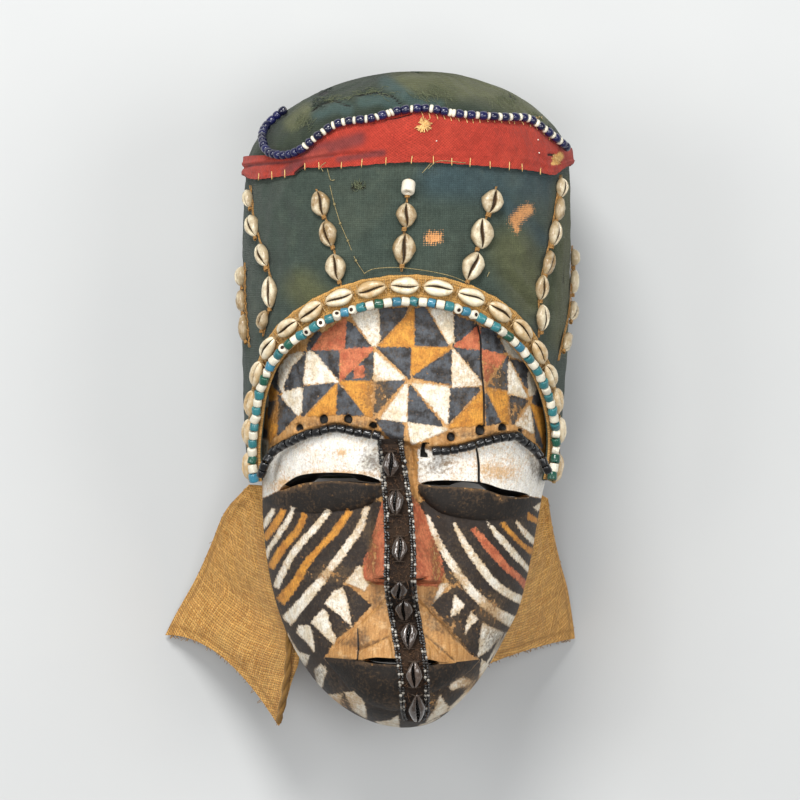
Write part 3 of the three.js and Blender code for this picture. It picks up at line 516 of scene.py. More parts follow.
face_paint = {
    "ochre": [
        stroke([(-75.5, -68), (-79, -75), (-88, -87)], (4, 5, 4)),
        stroke([(-62, -70), (-66, -80), (-76, -92), (-84, -105)], (4, 5, 5, 5)),
        stroke([(-34, -68), (-43, -81), (-54, -93), (-62, -103), (-68, -113), (-78, -126)],
               (4, 4.6, 4, 5, 6, 7)),
        stroke([(60, -76), (67, -84), (73, -90), (80, -95.5)], (3, 3, 3, 4.4)),
        [(76.5, -69.5), (83, -74), (83, -78), (75.4, -74)],
    ],
    "red": [
        stroke([(42, -79.5), (50, -89), (57, -97), (64, -105), (70, -110), (77, -118)],
               (3.5, 5, 5.4, 4.4, 4, 5)),
        [(-13, -60), (-15.4, -65), (-17.4, -74), (-20.6, -84), (-22, -91), (-25.4, -98), (-26.4, -106),
         (-25.4, -111), (-18, -114), (-9, -116), (-2, -90), (-4, -58)],
        [(3, -56), (7, -62), (12.4, -70), (18.4, -86), (22, -95), (24.4, -107), (24.2, -112), (20, -116),
         (12, -115), (5, -114), (2, -90)],
    ],
    "white": [
        stroke([(-81.6, -67.5), (-84, -72), (-89, -80)], (2, 4.4, 3)),
        stroke([(-69.4, -66.6), (-72, -73), (-80, -86), (-86, -95), (-86.6, -99)], (3, 4, 3.4, 2.6)),
        stroke([(-47, -68), (-53, -76), (-62, -86), (-70, -96), (-76, -107), (-80.6, -117)],
               (4, 4.4, 4.6, 4.4)),
        stroke([(-23.6, -66), (-27.4, -78), (-34, -88), (-42, -99), (-52, -112), (-63, -125), (-74, -138)],
               (3.4, 4.6, 5, 5, 6, 6.6, 8)),
        stroke([(13.6, -70.6), (18, -82), (23, -92), (30, -103), (37, -113), (45, -122), (54, -130),
                (68, -139)],
               (1.4, 4, 4.6, 5, 5.6, 6, 6.4, 8)),
        stroke([(30, -76), (36, -87), (43, -98), (50, -107.6), (58, -116), (66, -121.4), (75, -126)],
               (1.6, 4, 4.6, 5, 5.6, 5, 6)),
        stroke([(50.4, -74.6), (56, -82), (62, -89), (69, -97), (79, -108)], (1, 4, 4.4, 3.6, 3)),
        stroke([(69, -75.4), (74, -82), (82, -90)], (1.6, 4, 3.4)),
        [(79.6, -66.6), (85, -64), (86, -68), (82.6, -69.6)],
        [(-28.6, -101.6), (-26, -104), (-25.6, -110), (-22, -114), (-25, -118), (-37.4, -112.6),
         (-33, -108)],
        [(-38.4, -115.6), (-36.6, -121), (-34, -132), (-32.6, -141), (-40, -134), (-50, -126), (-45, -119)],
        [(-50, -129), (-47.4, -133), (-45, -143), (-42, -147), (-44, -152), (-51, -145), (-58.6, -138),
         (-54, -132)],
        [(-66.6, -140), (-59.4, -139.4), (-57, -146), (-56, -157), (-61, -151), (-67.4, -145)],
        [(-71, -150), (-66, -157), (-59, -158.6), (-61.6, -166), (-68, -168)],
        [(-52, -163.6), (-48, -167), (-49.4, -171.6), (-52, -181), (-55, -178), (-56.8, -168)],
        [(-50, -184), (-38.4, -181.6), (-39.6, -188), (-39, -192), (-48, -192)],
        [(-38, -181), (-31, -180.4), (-25, -187), (-24, -192), (-24, -199), (-33, -193)],
        [(-19, -200), (-9, -198.4), (-4, -194.6), (-3, -206), (-12, -206)],
        [(26.6, -112.6), (27, -115), (22.6, -120), (16.6, -126.6), (19, -120), (22, -113)],
        [(30.4, -119.6), (37.2, -126.6), (34, -131), (28, -135), (29, -128)],
        [(40.8, -130.6), (46.4, -135.6), (41, -140), (37, -146), (37.2, -140), (39.4, -134)],
        [(47.8, -137.6), (63, -145.4), (57, -150), (52, -156), (44.6, -160), (46, -150)],
        stroke([(63.6, -145), (59, -153), (53, -166)], (1.6, 2, 1)),
        [(47.4, -160.6), (53, -165), (49, -171), (45.6, -176), (46.6, -167)],
        [(27, -178.6), (28, -175.4), (36, -171.4), (42, -174.6), (41, -177.4), (29, -180)],
        [(20.4, -184), (22, -182.6), (27, -190), (26, -194), (14, -201), (12, -202), (18, -192)],
        [(46, -176), (40, -180), (27, -191), (28, -196), (38, -190), (48, -178)],
        stroke([(52, -167), (46, -175.6)], (1, 2)),
        stroke([(-71, -150), (-74, -146)], (1, 2)),
    ],
}

# How far the forehead's paint reaches past its outlines
forehead_spread = 1.0
# Where soot, handling and painted shade darken the paint and the wood: middle and half sizes
soot_and_shade_spots = [(-21, -37, 9, 8), (20, -40, 12, 8), (-16, -124, 8, 9), (16, -124, 6, 8), (-33, -150, 10, 3),
               (22, -141, 9, 4), (-3, -40, 8, 20), (-60, -170, 14, 10), (60, -150, 14, 14), (0, -64, 10, 8),
               (-84, -30, 6, 12), (84, -40, 6, 12), (20, -135, 7, 4), (32, -147, 7, 4), (-26, -146, 5, 7),
               (-40, -15, 34, 3), (50, -21, 34, 3), (-40, -160.6, 14, 2)]
# Where the paint is worn: middle and half sizes
worn_spots = [(-70, -53, 12, 4), (-38.8, -32.5, 3, 2.2), (58, -45, 12, 6), (-40, -46, 20, 2.4),
              (30, -30, 16, 2.5), (-3, -52, 9, 14), (43, -54, 6, 2.4), (60, -61, 5, 2.4), (30, -112, 9, 6),
              (-47, -108, 12, 5), (52, -130, 8, 10), (-30, -150, 14, 10), (28, -146, 12, 12),
              (-40, -188, 12, 5), (12, -186, 12, 8), (-20, -95, 3, 14), (19, -98, 3, 14), (40, -176, 8, 6),
              (-8, -162.5, 22, 1.5), (56, 14, 7, 9), (70, -8, 8, 8), (-80, -8, 4, 10), (-18, 2, 8, 12)]
eye_corners = {"left": (-89, -13), "right": (8, 90)}
chin_rim = [stroke([(-68.5, -158), (-65, -165), (-61.5, -171)], (1.6, 2.4, 0.8)),
            stroke([(-57.5, -177.5), (-52, -184), (-46, -190)], (0.6, 1.5, 2.2)),
            stroke([(-40, -194.5), (-31, -199), (-22, -202.6), (-12, -204)], (1.2, 2.4, 2.4, 1.4)),
            stroke([(60, -147), (57, -154), (53, -161), (48.5, -168)], (1.4, 2.2, 1.8, 0.8)),
            stroke([(44, -174.5), (38, -182), (32, -188.6), (26, -194)], (0.8, 2, 2.2, 1)),
            stroke([(22, -197.4), (15, -201), (8, -203)], (0.8, 1.6, 1.2))]
# Smoked brown marks below the lip
chin_marks = [[(-39, -184), (-38, -183), (-34, -192), (-38, -191)],
              [(26, -181), (40, -179), (33, -186), (29, -190), (26, -186)],
              [(-24, -191), (-12, -190), (-4, -192), (-6, -198), (-14, -200), (-22, -199)],
              [(-50, -179), (-50, -174), (-47, -170), (-42, -171), (-40.5, -180), (-41, -184), (-47, -184)]]
forehead_holes = [(-66, -17.5, 2.3), (-51, -12, 2.6), (-35.6, -12, 2.6), (-20, -16.5, 2.6),
                  (28.7, -23, 2.5), (46.9, -18.7, 2.9), (61, -17.5, 2.7), (72, -19.5, 1.6)]
brow_hole = [(9, -35.4), (14, -35.4), (13.6, -33), (12, -31), (12.4, -29), (15, -27.4), (13, -26.4),
             (10.4, -27.6)]
wood_cracks = [stroke([(45, 46), (46.6, 38), (47.2, 20), (48.6, 8), (49, -16)], (0.5, 0.7, 0.6, 0.8, 0.5)),
               stroke([(44, -29), (45.4, -37), (45.8, -52)], (0.6, 1, 0.9)),
               stroke([(-29.4, -141), (-29, -150), (-29.6, -161)], (0.3, 0.5, 0.4))]
# Grooves of the upper lip's carving, which show as thin shaded lines
lip_grooves = [stroke([(-29.8, -154.4), (-18, -149), (-7, -143.6)], (0.3, 0.9, 0.4)),
               stroke([(12, -144.6), (21, -152.2), (30.5, -161)], (0.3, 0.9, 0.3)),
               stroke([(15.5, -130), (27, -142), (42, -158)], (0.3, 1.1, 0.3))]
nostrils = [stroke([(-19.6, -111.2), (-16, -110.8), (-12, -111)], (0.6, 2.4, 2.6)),
            stroke([(6.6, -111.8), (10, -111), (14.4, -109.8)], (2.4, 2, 0.5))]


def lid_outline(side, upper):
    """A lid as it shows: from the eye slit to the brow, or from the slit to the lid's foot."""
    x = np.linspace(*eye_corners[side], 40)
    slit_y = curve_at(slit_line, x)
    edge = curve_at(brow_line, x) - 1 if upper else curve_at(lid_foot_line, x)
    return np.vstack([np.stack([x, slit_y], 1), np.stack([x, edge], 1)[::-1]])


def face_rows(across, gaps, opening, bevels):
    """The rows of the face's mesh down the carved lines: heights per column, and the key rows' numbers."""
    brow = lambda x: curve_at(brow_line, x)
    slit = lambda x: curve_at(slit_line, x)
    foot = lambda x: np.minimum(curve_at(lid_foot_line, x), slit(x) - 4)
    mouth = lambda x: curve_at(mouth_line, x)
    lip = lambda x: np.clip(lip_top_at(x), mouth(x) + 5, nose_under_y - 4)
    lip_foot = lambda x: np.minimum(curve_at(lip_foot_line, x), mouth(x) - 4)
    level = lambda y: lambda x: np.full(np.shape(x), float(y))
    lines = [(level(face_top), 0, 78), (brow, brow_slope, 6), (brow, -brow_slope, 26),
             (slit, bevels * gaps, 1), (slit, -gaps, 18), (foot, 0.8, 3), (foot, -0.6, 38),
             (level(nose_under_y), 1.6, 10), (level(nose_under_y), -1.6, 26), (lip, 0, 28),
             (mouth, mouth_bevel * opening, 1), (mouth, -opening, 22), (lip_foot, 0.7, 3),
             (lip_foot, -0.7, 34), (level(face_chin), 0, 0),]
    keys = []
    for line, offset, _ in lines:
        y = line(np.zeros(across.shape))
        for _ in range(12):
            y = mix(y, line(face_x_at(across, y)) + offset, 0.6)
        keys.append(np.maximum(y, face_chin))
    rows, numbers = [], []
    for (_, _, count), here, below in zip(lines, keys, keys[1:]):
        numbers.append(len(rows))
        last = below is keys[-1]
        for share in np.arange(count) / count:
            rows.append(mix(here, below, math.sin(share * math.pi / 2) if last else share))
    numbers.append(len(rows))
    return np.array(rows + [keys[-1]]), numbers


def border(faces):
    """The edges of a set of faces that only one of them uses, as they run in it."""
    ahead = np.stack([faces, np.roll(faces, -1, axis=1)], -1).reshape(-1, 2)
    size = ahead.max() + 1
    back = set((ahead[:, 1] * size + ahead[:, 0]).tolist())
    return ahead[[a * size + b not in back for a, b in ahead.tolist()]]


def slab(shape, front, back, keep=None, wrap=False, mark=0, **values):
    """A sheet with two sides, given as grids of points; keep tells which of its cells are there."""
    rows, columns = front.shape[:2]
    faces = grid(rows, columns, wrap)
    if keep is not None:
        faces = faces[keep.ravel()]
    count = rows * columns
    both = {name: np.concatenate([v.reshape(count, *v.shape[2:])] * 2) for name, v in values.items()}
    points = np.concatenate([front.reshape(-1, 3), back.reshape(-1, 3)])
    start = shape.add(points, np.concatenate([faces, faces[:, ::-1] + count]), mark, **both)
    edges = border(faces) + start
    shape.join(np.stack([edges[:, 1], edges[:, 0], edges[:, 0] + count, edges[:, 1] + count], 1), mark)
    return start


# How far outside its outlines a paint's value is still measured, which is also the value of bare wood
paint_reach = 6


def near_outlines(outlines, x, y, reach=paint_reach):
    """How far inside the nearest of some outlines each point lies, and negative outside them all."""
    inside = np.full(x.shape, -float(reach))
    for outline in outlines:
        low, high = np.min(outline, axis=0) - reach, np.max(outline, axis=0) + reach
        close = (x > low[0]) & (x < high[0]) & (y > low[1]) & (y < high[1])
        inside[close] = np.maximum(inside[close], -outside(outline, x[close], y[close]))
    return inside


face_columns = 240
# Which of the key rows are the edges of the slits
eye_key, mouth_key = 3, 10
back_every = 4
eye_columns = [(-79, -15), (9, 81)]
mouth_columns = [(-26, 22)]
# The upper edges of the slits are cut back, so the wood's thickness, painted dark as shade, shows above what
# is open.
eye_bevel = (2.0, 1.25)
mouth_bevel = 1.7
strip_clear = 10.5
see_through = [(-54, -31, 4), (30, 49.5, 4)]


def slit_gaps(across, width, ends, height):
    """The half height of slits at each column, lens-shaped; both ends fall on columns the back has too."""
    half = np.zeros(across.shape)
    for low, high in ends:
        first, last = [int(round(np.interp(x / width, across, np.arange(len(across))) / back_every))
                       * back_every for x in (low, high)]
        share = (np.arange(first, last + 1) - first) / (last - first)
        half[first:last + 1] = height / 2 * np.minimum(1, 2.6 * np.sqrt(share * (1 - share)))
    return half


def walk(first, last):
    """The whole numbers from first to last, up or down."""
    way = 1 if last >= first else -1
    return np.arange(first, last + way, way)


def wooden_face_shape():
    fine = np.linspace(-1, 1, 4001)
    profile = face_base(fine, float(face_eye_line))[:, [0, 2]] * [1, 0.45]
    along = np.concatenate([[0], np.cumsum(np.linalg.norm(np.diff(profile, axis=0), axis=1))])
    across = np.interp(np.linspace(0, along[-1], face_columns + 1), along, fine)
    gaps = slit_gaps(across, face_half_width, eye_columns, eye_slit)
    opening = slit_gaps(across, float(face_width_at(mouth_y)), mouth_columns, mouth_slit)
    bevels = np.where(across < 0, *eye_bevel)
    y, keys = face_rows(across, gaps, opening, bevels)
    wide = np.broadcast_to(across, y.shape)
    x = face_x_at(wide, y)
    rise = carved_rise(x, y)
    inside_lip = (y > curve_at(mouth_line, x) + 0.5) & (y < lip_top_at(x) - 1)
    ledge = ledge_y - np.where(x < ledge_x, *ledge_slopes) * np.abs(x - ledge_x)
    beside = step(np.abs(x - curve_at(strip_line, y)), strip_clear, strip_clear + 2.5)
    rise = rise + ledge_step * inside_lip * step(ledge - y, 0, 1.5) * beside
    holes = np.stack([r - np.hypot(x - cx, (y - cy) * 0.9) for cx, cy, r in forehead_holes]).max(axis=0)
    holes = np.maximum(holes, near_outlines([brow_hole, *nostrils], x, y))
    cracks = near_outlines(wood_cracks, x, y)
    chisel = 0.35 * ripple(3, x / 26, y / 34) + 0.12 * ripple(4, x / 7, y / 11)
    grooves = step(near_outlines(lip_grooves, x, y), -1.1, 0.4)
    drop = (hole_depth * step(holes, -0.7, 0.5) + crack_depth * step(cracks, -0.6, 0.3) + groove_depth
            * grooves)
    fade = step(face_top - y, 0, 4) * (1 - np.abs(wide) ** 8)
    front = face_base(wide, y, 0, rise)
    aside = np.gradient(front, axis=1)
    down = np.gradient(front, axis=0)
    normal = unit(np.cross(down, aside))
    normal[-1] = [0, -1, 0]
    front = front + ((chisel - drop) * fade)[..., None] * normal

    back_rows = sorted(set(range(0, len(y), back_every)) | set(keys) | {len(y) - 1})
    back_columns = np.arange(0, face_columns + 1, back_every)
    yb = np.maximum(y[np.ix_(back_rows, back_columns)], face_chin + face_wall)
    wb = wide[np.ix_(back_rows, back_columns)]
    back = face_base(wb, yb, face_wall)
    back[..., 2] = np.where(np.abs(wb) > 0.9999, rim_at(yb), back[..., 2])
    for row, half, bevel in ((keys[eye_key], gaps, bevels[::back_every]),
                             (keys[mouth_key], opening, mouth_bevel)):
        k = back_rows.index(row)
        spot = back[k, :, 0]
        through = sum(step(spot, low - soft, low + soft) * (1 - step(spot, high - soft, high + soft))
                      for low, high, soft in see_through)
        back[k, :, 1] -= (half[::back_every]
                          * (bevel - mix(-0.6, 1, through if row == keys[eye_key] else 0 * through)))

    slits = [(keys[eye_key], gaps), (keys[mouth_key], opening)]
    keep = np.ones((len(y) - 1, face_columns), bool)
    keep_back = np.ones((len(back_rows) - 1, len(back_columns) - 1), bool)
    for row, half in slits:
        keep[row] = (half[:-1] == 0) & (half[1:] == 0)
        coarse = half[::back_every]
        keep_back[back_rows.index(row)] = ((half[back_every // 2::back_every] == 0)[:len(coarse) - 1])

    black = near_outlines(forehead_paint["black"] + [cheek_background], x, y)
    black = np.where((y < -50) & (y > curve_at(lid_foot_line, x) + 1.2), -paint_reach, black)
    lower_lip = ((y < curve_at(mouth_line, x)) & (y > curve_at(lip_foot_line, x)) & (x > mouth_left)
                 & (x < mouth_right))
    spread_paint = np.where(y > -50, forehead_spread, 0)
    clouds = lambda spots: sum(np.exp(-((x - cx) / rx) ** 2 - ((y - cy) / ry) ** 2)
                               for cx, cy, rx, ry in spots)
    whites = forehead_paint["white"] + face_paint["white"] + chin_rim
    lower_lids = [lid_outline(side, False) for side in eye_corners]
    edge_line = np.exp(-((y - curve_at(slit_line, x) + gaps + 0.4) / 0.7) ** 2) * (gaps > 0)
    colours = {
        "paint_black": np.where(lower_lip, -paint_reach, black + spread_paint),
        "paint_ochre": near_outlines(forehead_paint["ochre"] + face_paint["ochre"], x, y) + spread_paint,
        "paint_red": near_outlines(forehead_paint["red"] + face_paint["red"], x, y) + spread_paint,
        "paint_white": near_outlines(whites, x, y) + spread_paint,
        "paint_lid": near_outlines([lid_outline(side, True) for side in eye_corners], x, y),
        "paint_brown": np.where(lower_lip, 3, near_outlines(lower_lids + chin_marks, x, y)),
        # Painted shade: holes, nostrils, cracks and the slits' walls are coloured near black
        "holes": np.maximum(holes, cracks + 0.2),
        "worn": np.clip(clouds(worn_spots) + edge_line, 0, 1),
        # Soot and painted shade: the spots above, and the lip's grooves darkened as shade
        "sooty": np.clip(1.3 * grooves + clouds(soot_and_shade_spots), 0, 1),
    }
    shape = Shape()
    count = y.size
    # Painted shade along the edges of the slits
    for row, half in slits:
        edge = colours["holes"][row:row + 2]
        edge[:] = np.where(half > 0, np.maximum(edge, -0.05), edge)
    flat = {name: value.reshape(count, *value.shape[2:]) for name, value in colours.items()}
    shape.add(front.reshape(-1, 3), grid(*y.shape)[keep.ravel()], 0, **flat)
    number = np.arange(count).reshape(y.shape)
    unpainted = {"worn": 0.0, "sooty": 0.0}
    zero = {name: np.zeros((back.size // 3, *value.shape[1:])) + unpainted.get(name, -paint_reach)
            for name, value in flat.items()}
    # The walls round the slits on the back are painted near black as shade
    shade_painted_walls = np.zeros(wb.shape, bool)
    for row, half in slits:
        shade_painted_walls[back_rows.index(row)] = half[::back_every] > 0
        shade_painted_walls[back_rows.index(row) + 1] = half[::back_every] > 0
    zero["holes"] = np.where(shade_painted_walls.ravel(), 3.0, -paint_reach)
    second = shape.add(back.reshape(-1, 3), grid(*wb.shape)[keep_back.ravel()][:, ::-1], 0, **zero)
    behind = second + np.arange(back.size // 3).reshape(wb.shape)
    for a, b in border(grid(*wb.shape)[keep_back.ravel()]).tolist():
        (ra, ca), (rb, cb) = divmod(a, wb.shape[1]), divmod(b, wb.shape[1])
        rows = walk(back_rows[ra], back_rows[rb])
        columns = walk(back_columns[ca], back_columns[cb])
        edge = number[rows[:, None], columns[None, :]].ravel()
        shape.join([[*edge[::-1].tolist(), behind[ra, ca], behind[rb, cb]]], 0)
    return shape


# Hood

def crown_share(y):
    return np.clip((y - hood_top) / (crown_top - hood_top), 0, 1)


def hood_centre(y):
    return hood_shift + hood_lean * np.minimum(y, hood_top) + crown_lean * crown_share(y)


def hood_point(angle, y, inset=0):
    """The hood's outer surface, given by an angle round its axis and a place along y."""
    angle, y = np.broadcast_arrays(np.asarray(angle, float), np.asarray(y, float))
    along = np.minimum(y, hood_top)
    half_width = hood_half_width - hood_side_taper * (along - hood_widest_y) ** 2 - inset
    front = hood_front_height - hood_front_taper * (along - hood_fullest_y) ** 2 - hood_mid_height - inset
    reach = np.where(np.cos(angle) > 0, front, hood_back_reach - inset) * np.sqrt(1 - crown_share(y) ** 2.2)
    bend = 2 / hood_squareness
    sine, cosine = np.sin(angle), np.cos(angle)
    width = half_width * np.sqrt(1 - crown_share(y) ** 1.7)
    x = hood_centre(y) + width * np.sign(sine) * np.abs(sine) ** bend
    z = hood_mid_height + reach * np.sign(cosine) * np.abs(cosine) ** bend
    return np.stack([x, y, np.maximum(z, inset)], -1)


def hood_normal(angle, y):
    turned = hood_point(angle + 0.01, y) - hood_point(angle - 0.01, y)
    along = hood_point(angle, y + 0.3) - hood_point(angle, y - 0.3)
    return -unit(np.cross(along, turned))


def hood_side(y):
    return hood_point(math.pi / 2, y)[..., 0] - hood_centre(y)


def angle_at(x, y):
    """The angle on the hood that shows at a given x from the front."""
    across = np.clip((x - hood_centre(y)) / hood_side(y), -0.9999, 0.9999)
    return np.sign(across) * np.arcsin(np.abs(across) ** (hood_squareness / 2))


def angle_of(point):
    """The angle of a point in space that lies close to the hood."""
    y = point[..., 1]
    across = (point[..., 0] - hood_centre(y)) / hood_side(y)
    out = (point[..., 2] - hood_mid_height) / (hood_point(0, y)[..., 2] - hood_mid_height)
    power = hood_squareness / 2
    return np.arctan2(np.sign(across) * np.abs(across) ** power, np.sign(out) * np.abs(out) ** power)


def on_hood(angle, y, rise):
    return hood_point(angle, y) + np.asarray(rise, float)[..., None] * hood_normal(angle, y)


def foot_under(x, y, rise):
    """Angle and y of the foot on the hood of a thing whose middle shows at x, y, rise above the cloth."""
    angle, low = angle_at(x, y), y
    for _ in range(6):
        offset = hood_normal(angle, low) * np.asarray(rise, float)[..., None]
        angle, low = angle_at(x - offset[..., 0], y - offset[..., 1]), y - offset[..., 1]
    return angle, low


def seen(x, y, rise=0):
    """The point rise above the hood's cloth that shows at x, y from the front."""
    x, y, rise = np.broadcast_arrays(*(np.asarray(v, float) for v in (x, y, rise)))
    angle, low = foot_under(x, y, rise)
    return on_hood(angle, low, rise)


# The arch round the forehead, as its bead string shows from the front
arch_line = smooth_line([(-94, -51), (-95, -33), (-93.5, -16), (-89.5, 6.5), (-79.4, 27), (-62.5, 41),
                         (-34, 55), (3, 60.6), (36, 55), (64, 39), (83, 16), (92.5, -11), (93.8, -32),
                         (91, -50)], 121)
clearance = 0.4
binding_thickness = 1.6
sewn_gap = 0.3
arch_bead_radius = 3
arch_beads = 67
arch_rise = clearance + binding_thickness + sewn_gap + arch_bead_radius
binding_inner, binding_outer = -1.5, 16.5
arch_shell_row = 9.6
arch_shells = 19
arch_shell_width = 11.2
# Along the arch from the middle of a shell: its knots, and the thread that goes over each end
arch_knot_at, arch_loop_at, arch_loop_half = 8.9, 8.6, 4.2
arch_shell_height = 5.5

arch_angle, arch_low = foot_under(arch_line[:, 0], arch_line[:, 1], arch_rise)
arch_path = smooth_line(hood_point(arch_angle, arch_low), 1201)
arch_ahead = unit(np.gradient(arch_path, axis=0))


def arch_point(t, out, rise):
    """A point on the arch: t runs along it, out is the distance over the cloth away from the face."""
    t, out, rise = np.broadcast_arrays(*(np.asarray(v, float) for v in (t, out, rise)))
    at = np.clip(t, 0, 1) * (len(arch_path) - 1)
    spot = np.arange(len(arch_path))
    foot = np.stack([np.interp(at, spot, arch_path[:, k]) for k in range(3)], -1)
    ahead = unit(np.stack([np.interp(at, spot, arch_ahead[:, k]) for k in range(3)], -1))
    normal = hood_normal(angle_of(foot), foot[..., 1])
    outward = -unit(np.cross(ahead, normal))
    near = foot + out[..., None] * outward
    return on_hood(angle_of(near), near[..., 1], rise)


# Creases of the hood's cloth as they show from the front: a line, its height and its width
hood_creases = [([(45.4, 72.5), (54.4, 62.7), (64, 52), (75.6, 41.9)], -2.4, 1.5),
                ([(49, 75), (58, 65), (68, 54), (78, 45)], 1.4, 2.6), ([(-72, 96), (-66, 74), (-58, 58)],
        1.1, 2.6), ([(-20, 104), (-12, 84), (-14, 70)], 1.0, 3), ([(20, 130), (24, 104), (18, 80)], 0.9, 3),
                ([(70, 132), (64, 112), (72, 92)], 1.2, 2.6), ([(-70, 134), (-80, 120), (-84, 96)], 1, 3),
                ([(-60, 100), (-40, 90), (-18, 92)], 1, 4), ([(30, 100), (54, 90), (76, 92)], 1.2, 4),
                ([(92, 110), (90, 80), (90, 56)], -1.6, 1.8), ([(98, 100), (96, 78), (96, 56)], 1.2, 2),
                ([(30, 80), (36, 84), (44, 76)], 1, 1.6), ([(60, 78), (70, 68), (80, 58)], -2.2, 2),
                ([(64, 82), (74, 72), (84, 62)], 1.8, 3), ([(-74, 116), (-66, 100), (-70, 84)], -1.2, 2.4),
                ([(-20, 132), (-30, 112), (-24, 92)], -1.2, 3), ([(12, 120), (20, 104), (34, 96)], 1.1, 3)]


def folds(angle, y):
    """How far the hood's cloth stands off its smooth form: slack, creases and the puckers by the arch."""
    x = hood_point(angle, y)[..., 0]
    slack = hood_slack * ripple(11, angle * 2.2, y / 70) + hood_pucker * ripple(12, angle * 8, y / 22)
    front = np.cos(angle) > 0
    crease = np.zeros(x.shape)
    for line, height, width in hood_creases:
        bend = smooth_line(line, 60)
        gap = np.full(x.shape, 99.0)
        for (ax, ay), (bx, by) in zip(bend, bend[1:]):
            near = (np.abs(x - ax) < 12) & (np.abs(y - ay) < 12) & front
            gap[near] = np.minimum(gap[near], np.hypot(x[near] - (ax + bx) / 2, y[near] - (ay + by) / 2))
        crease += height * np.exp(-(gap / width) ** 2)
    return slack + crease


hood_cell = 2.1
hood_slack, hood_pucker = 0.8, 0.5
# Marks on the cloths, each a line and how far it reaches, as they show from the front
hood_marks = {
    "bare": [([(16, 99.8), (19, 100)], 3.1), ([(67.6, 111), (71, 114.2), (75.6, 117.6)], 3.3),
             ([(67.6, 108), (68.6, 105)], 1.6)],
    # Tears: dented, and painted near black as the shade inside them
    "torn": [([(-32, 130.4), (-30, 132)], 1.6), ([(-28, 132.6), (-26.4, 130.6)], 1.4),
             ([(98.4, 84), (98.8, 74)], 0.8)],
    "warm": [([(102, 130), (100, 70), (98, 40)], 9), ([(66, 92), (80, 64)], 14),
             ([(-64, 70), (-54, 60)], 10)],
    "cool": [([(20, 137), (90, 133)], 12), ([(60, 124), (84, 100)], 5)],
}
crown_marks = {
    # Tears: dented, and painted near black as the shade inside them
    "torn": [([(-58, 179.6), (-52, 184.2), (-44, 186), (-34, 182)], 0.7),
             ([(-29.4, 189), (-18.8, 191.4), (-8, 188.6), (-2, 183)], 0.7),
             ([(-53.4, 191), (-49, 192.4)], 1.5), ([(66, 190), (69, 188)], 1)],
    "warm": [([(0, 198), (50, 196), (84, 180)], 10), ([(-70, 172), (-62, 180)], 5)],
    "cool": [([(-54, 178), (-42, 182), (-36, 180)], 4), ([(-26, 185), (-16, 187), (-6, 183)], 4),
             ([(-12, 198), (6, 184), (20, 182)], 4)],
}


def mark_values(marks, x, y, shown):
    """How strongly each kind of mark lies at x, y: 1 on its line, 0 beyond its reach."""
    values = {}
    for name, lines in marks.items():
        amount = np.zeros(x.shape)
        for line, reach in lines:
            gap = np.full(x.shape, 99.0)
            for (ax, ay), (bx, by) in zip(line, line[1:]):
                ex, ey = bx - ax, by - ay
                along = np.clip(((x - ax) * ex + (y - ay) * ey) / (ex * ex + ey * ey), 0, 1)
                gap = np.minimum(gap, np.hypot(x - ax - along * ex, y - ay - along * ey))
            amount = np.maximum(amount, 1 - step(gap / reach, 0.3, 1.7))
        values[name] = amount * shown
    return values


def hood_cloth_shape():
    columns = int(640 / hood_cell)
    y = np.linspace(hood_low, hood_top, int((hood_top - hood_low) / hood_cell))[:, None]
    angle = np.linspace(-math.pi, math.pi, columns, endpoint=False)[None, :]
    angle, y = angle + 0 * y, y + 0 * angle
    point = hood_point(angle, y)
    opening = np.vstack([[arch_path[0, 0], hood_low - 10], arch_path[::8, :2], arch_path[-1:, :2],
                         [arch_path[-1, 0], hood_low - 10]])
    away = np.where(point[..., 2] > hood_mid_height + 2, outside(opening, point[..., 0], point[..., 1]), 99)
    corner = np.roll(away, -1, axis=1)
    keep = np.maximum.reduce([away[:-1], away[1:], corner[:-1], corner[1:]]) > 0
    snap = (away < 0) & (away > -6)
    flat = point[snap][:, :2]
    path = spread(opening, 1200)
    nearest = np.array([path[np.argmin(np.hypot(*(path - p).T))] for p in flat])
    y = y.copy()
    angle = angle.copy()
    y[snap], angle[snap] = nearest[:, 1], angle_at(nearest[:, 0], nearest[:, 1])
    edge = step(np.minimum(hood_top - y, y - hood_low), 0, 5) * step(np.abs(away), 0, 16)
    rise = folds(angle, y) * edge
    girth = angle * 100
    marks = mark_values(hood_marks, point[..., 0], point[..., 1], point[..., 2] > 90)
    rise = rise - 0.8 * marks["torn"]
    shape = Shape()
    slab(shape, on_hood(angle, y, rise), on_hood(angle, y, rise - hood_wall * 0.4), keep, wrap=True,
         thread=np.stack([girth, y, rise], -1), **marks)
    return shape


crown_patch = 7
crown_thickness = 1.2
thin_cloth = 1.1


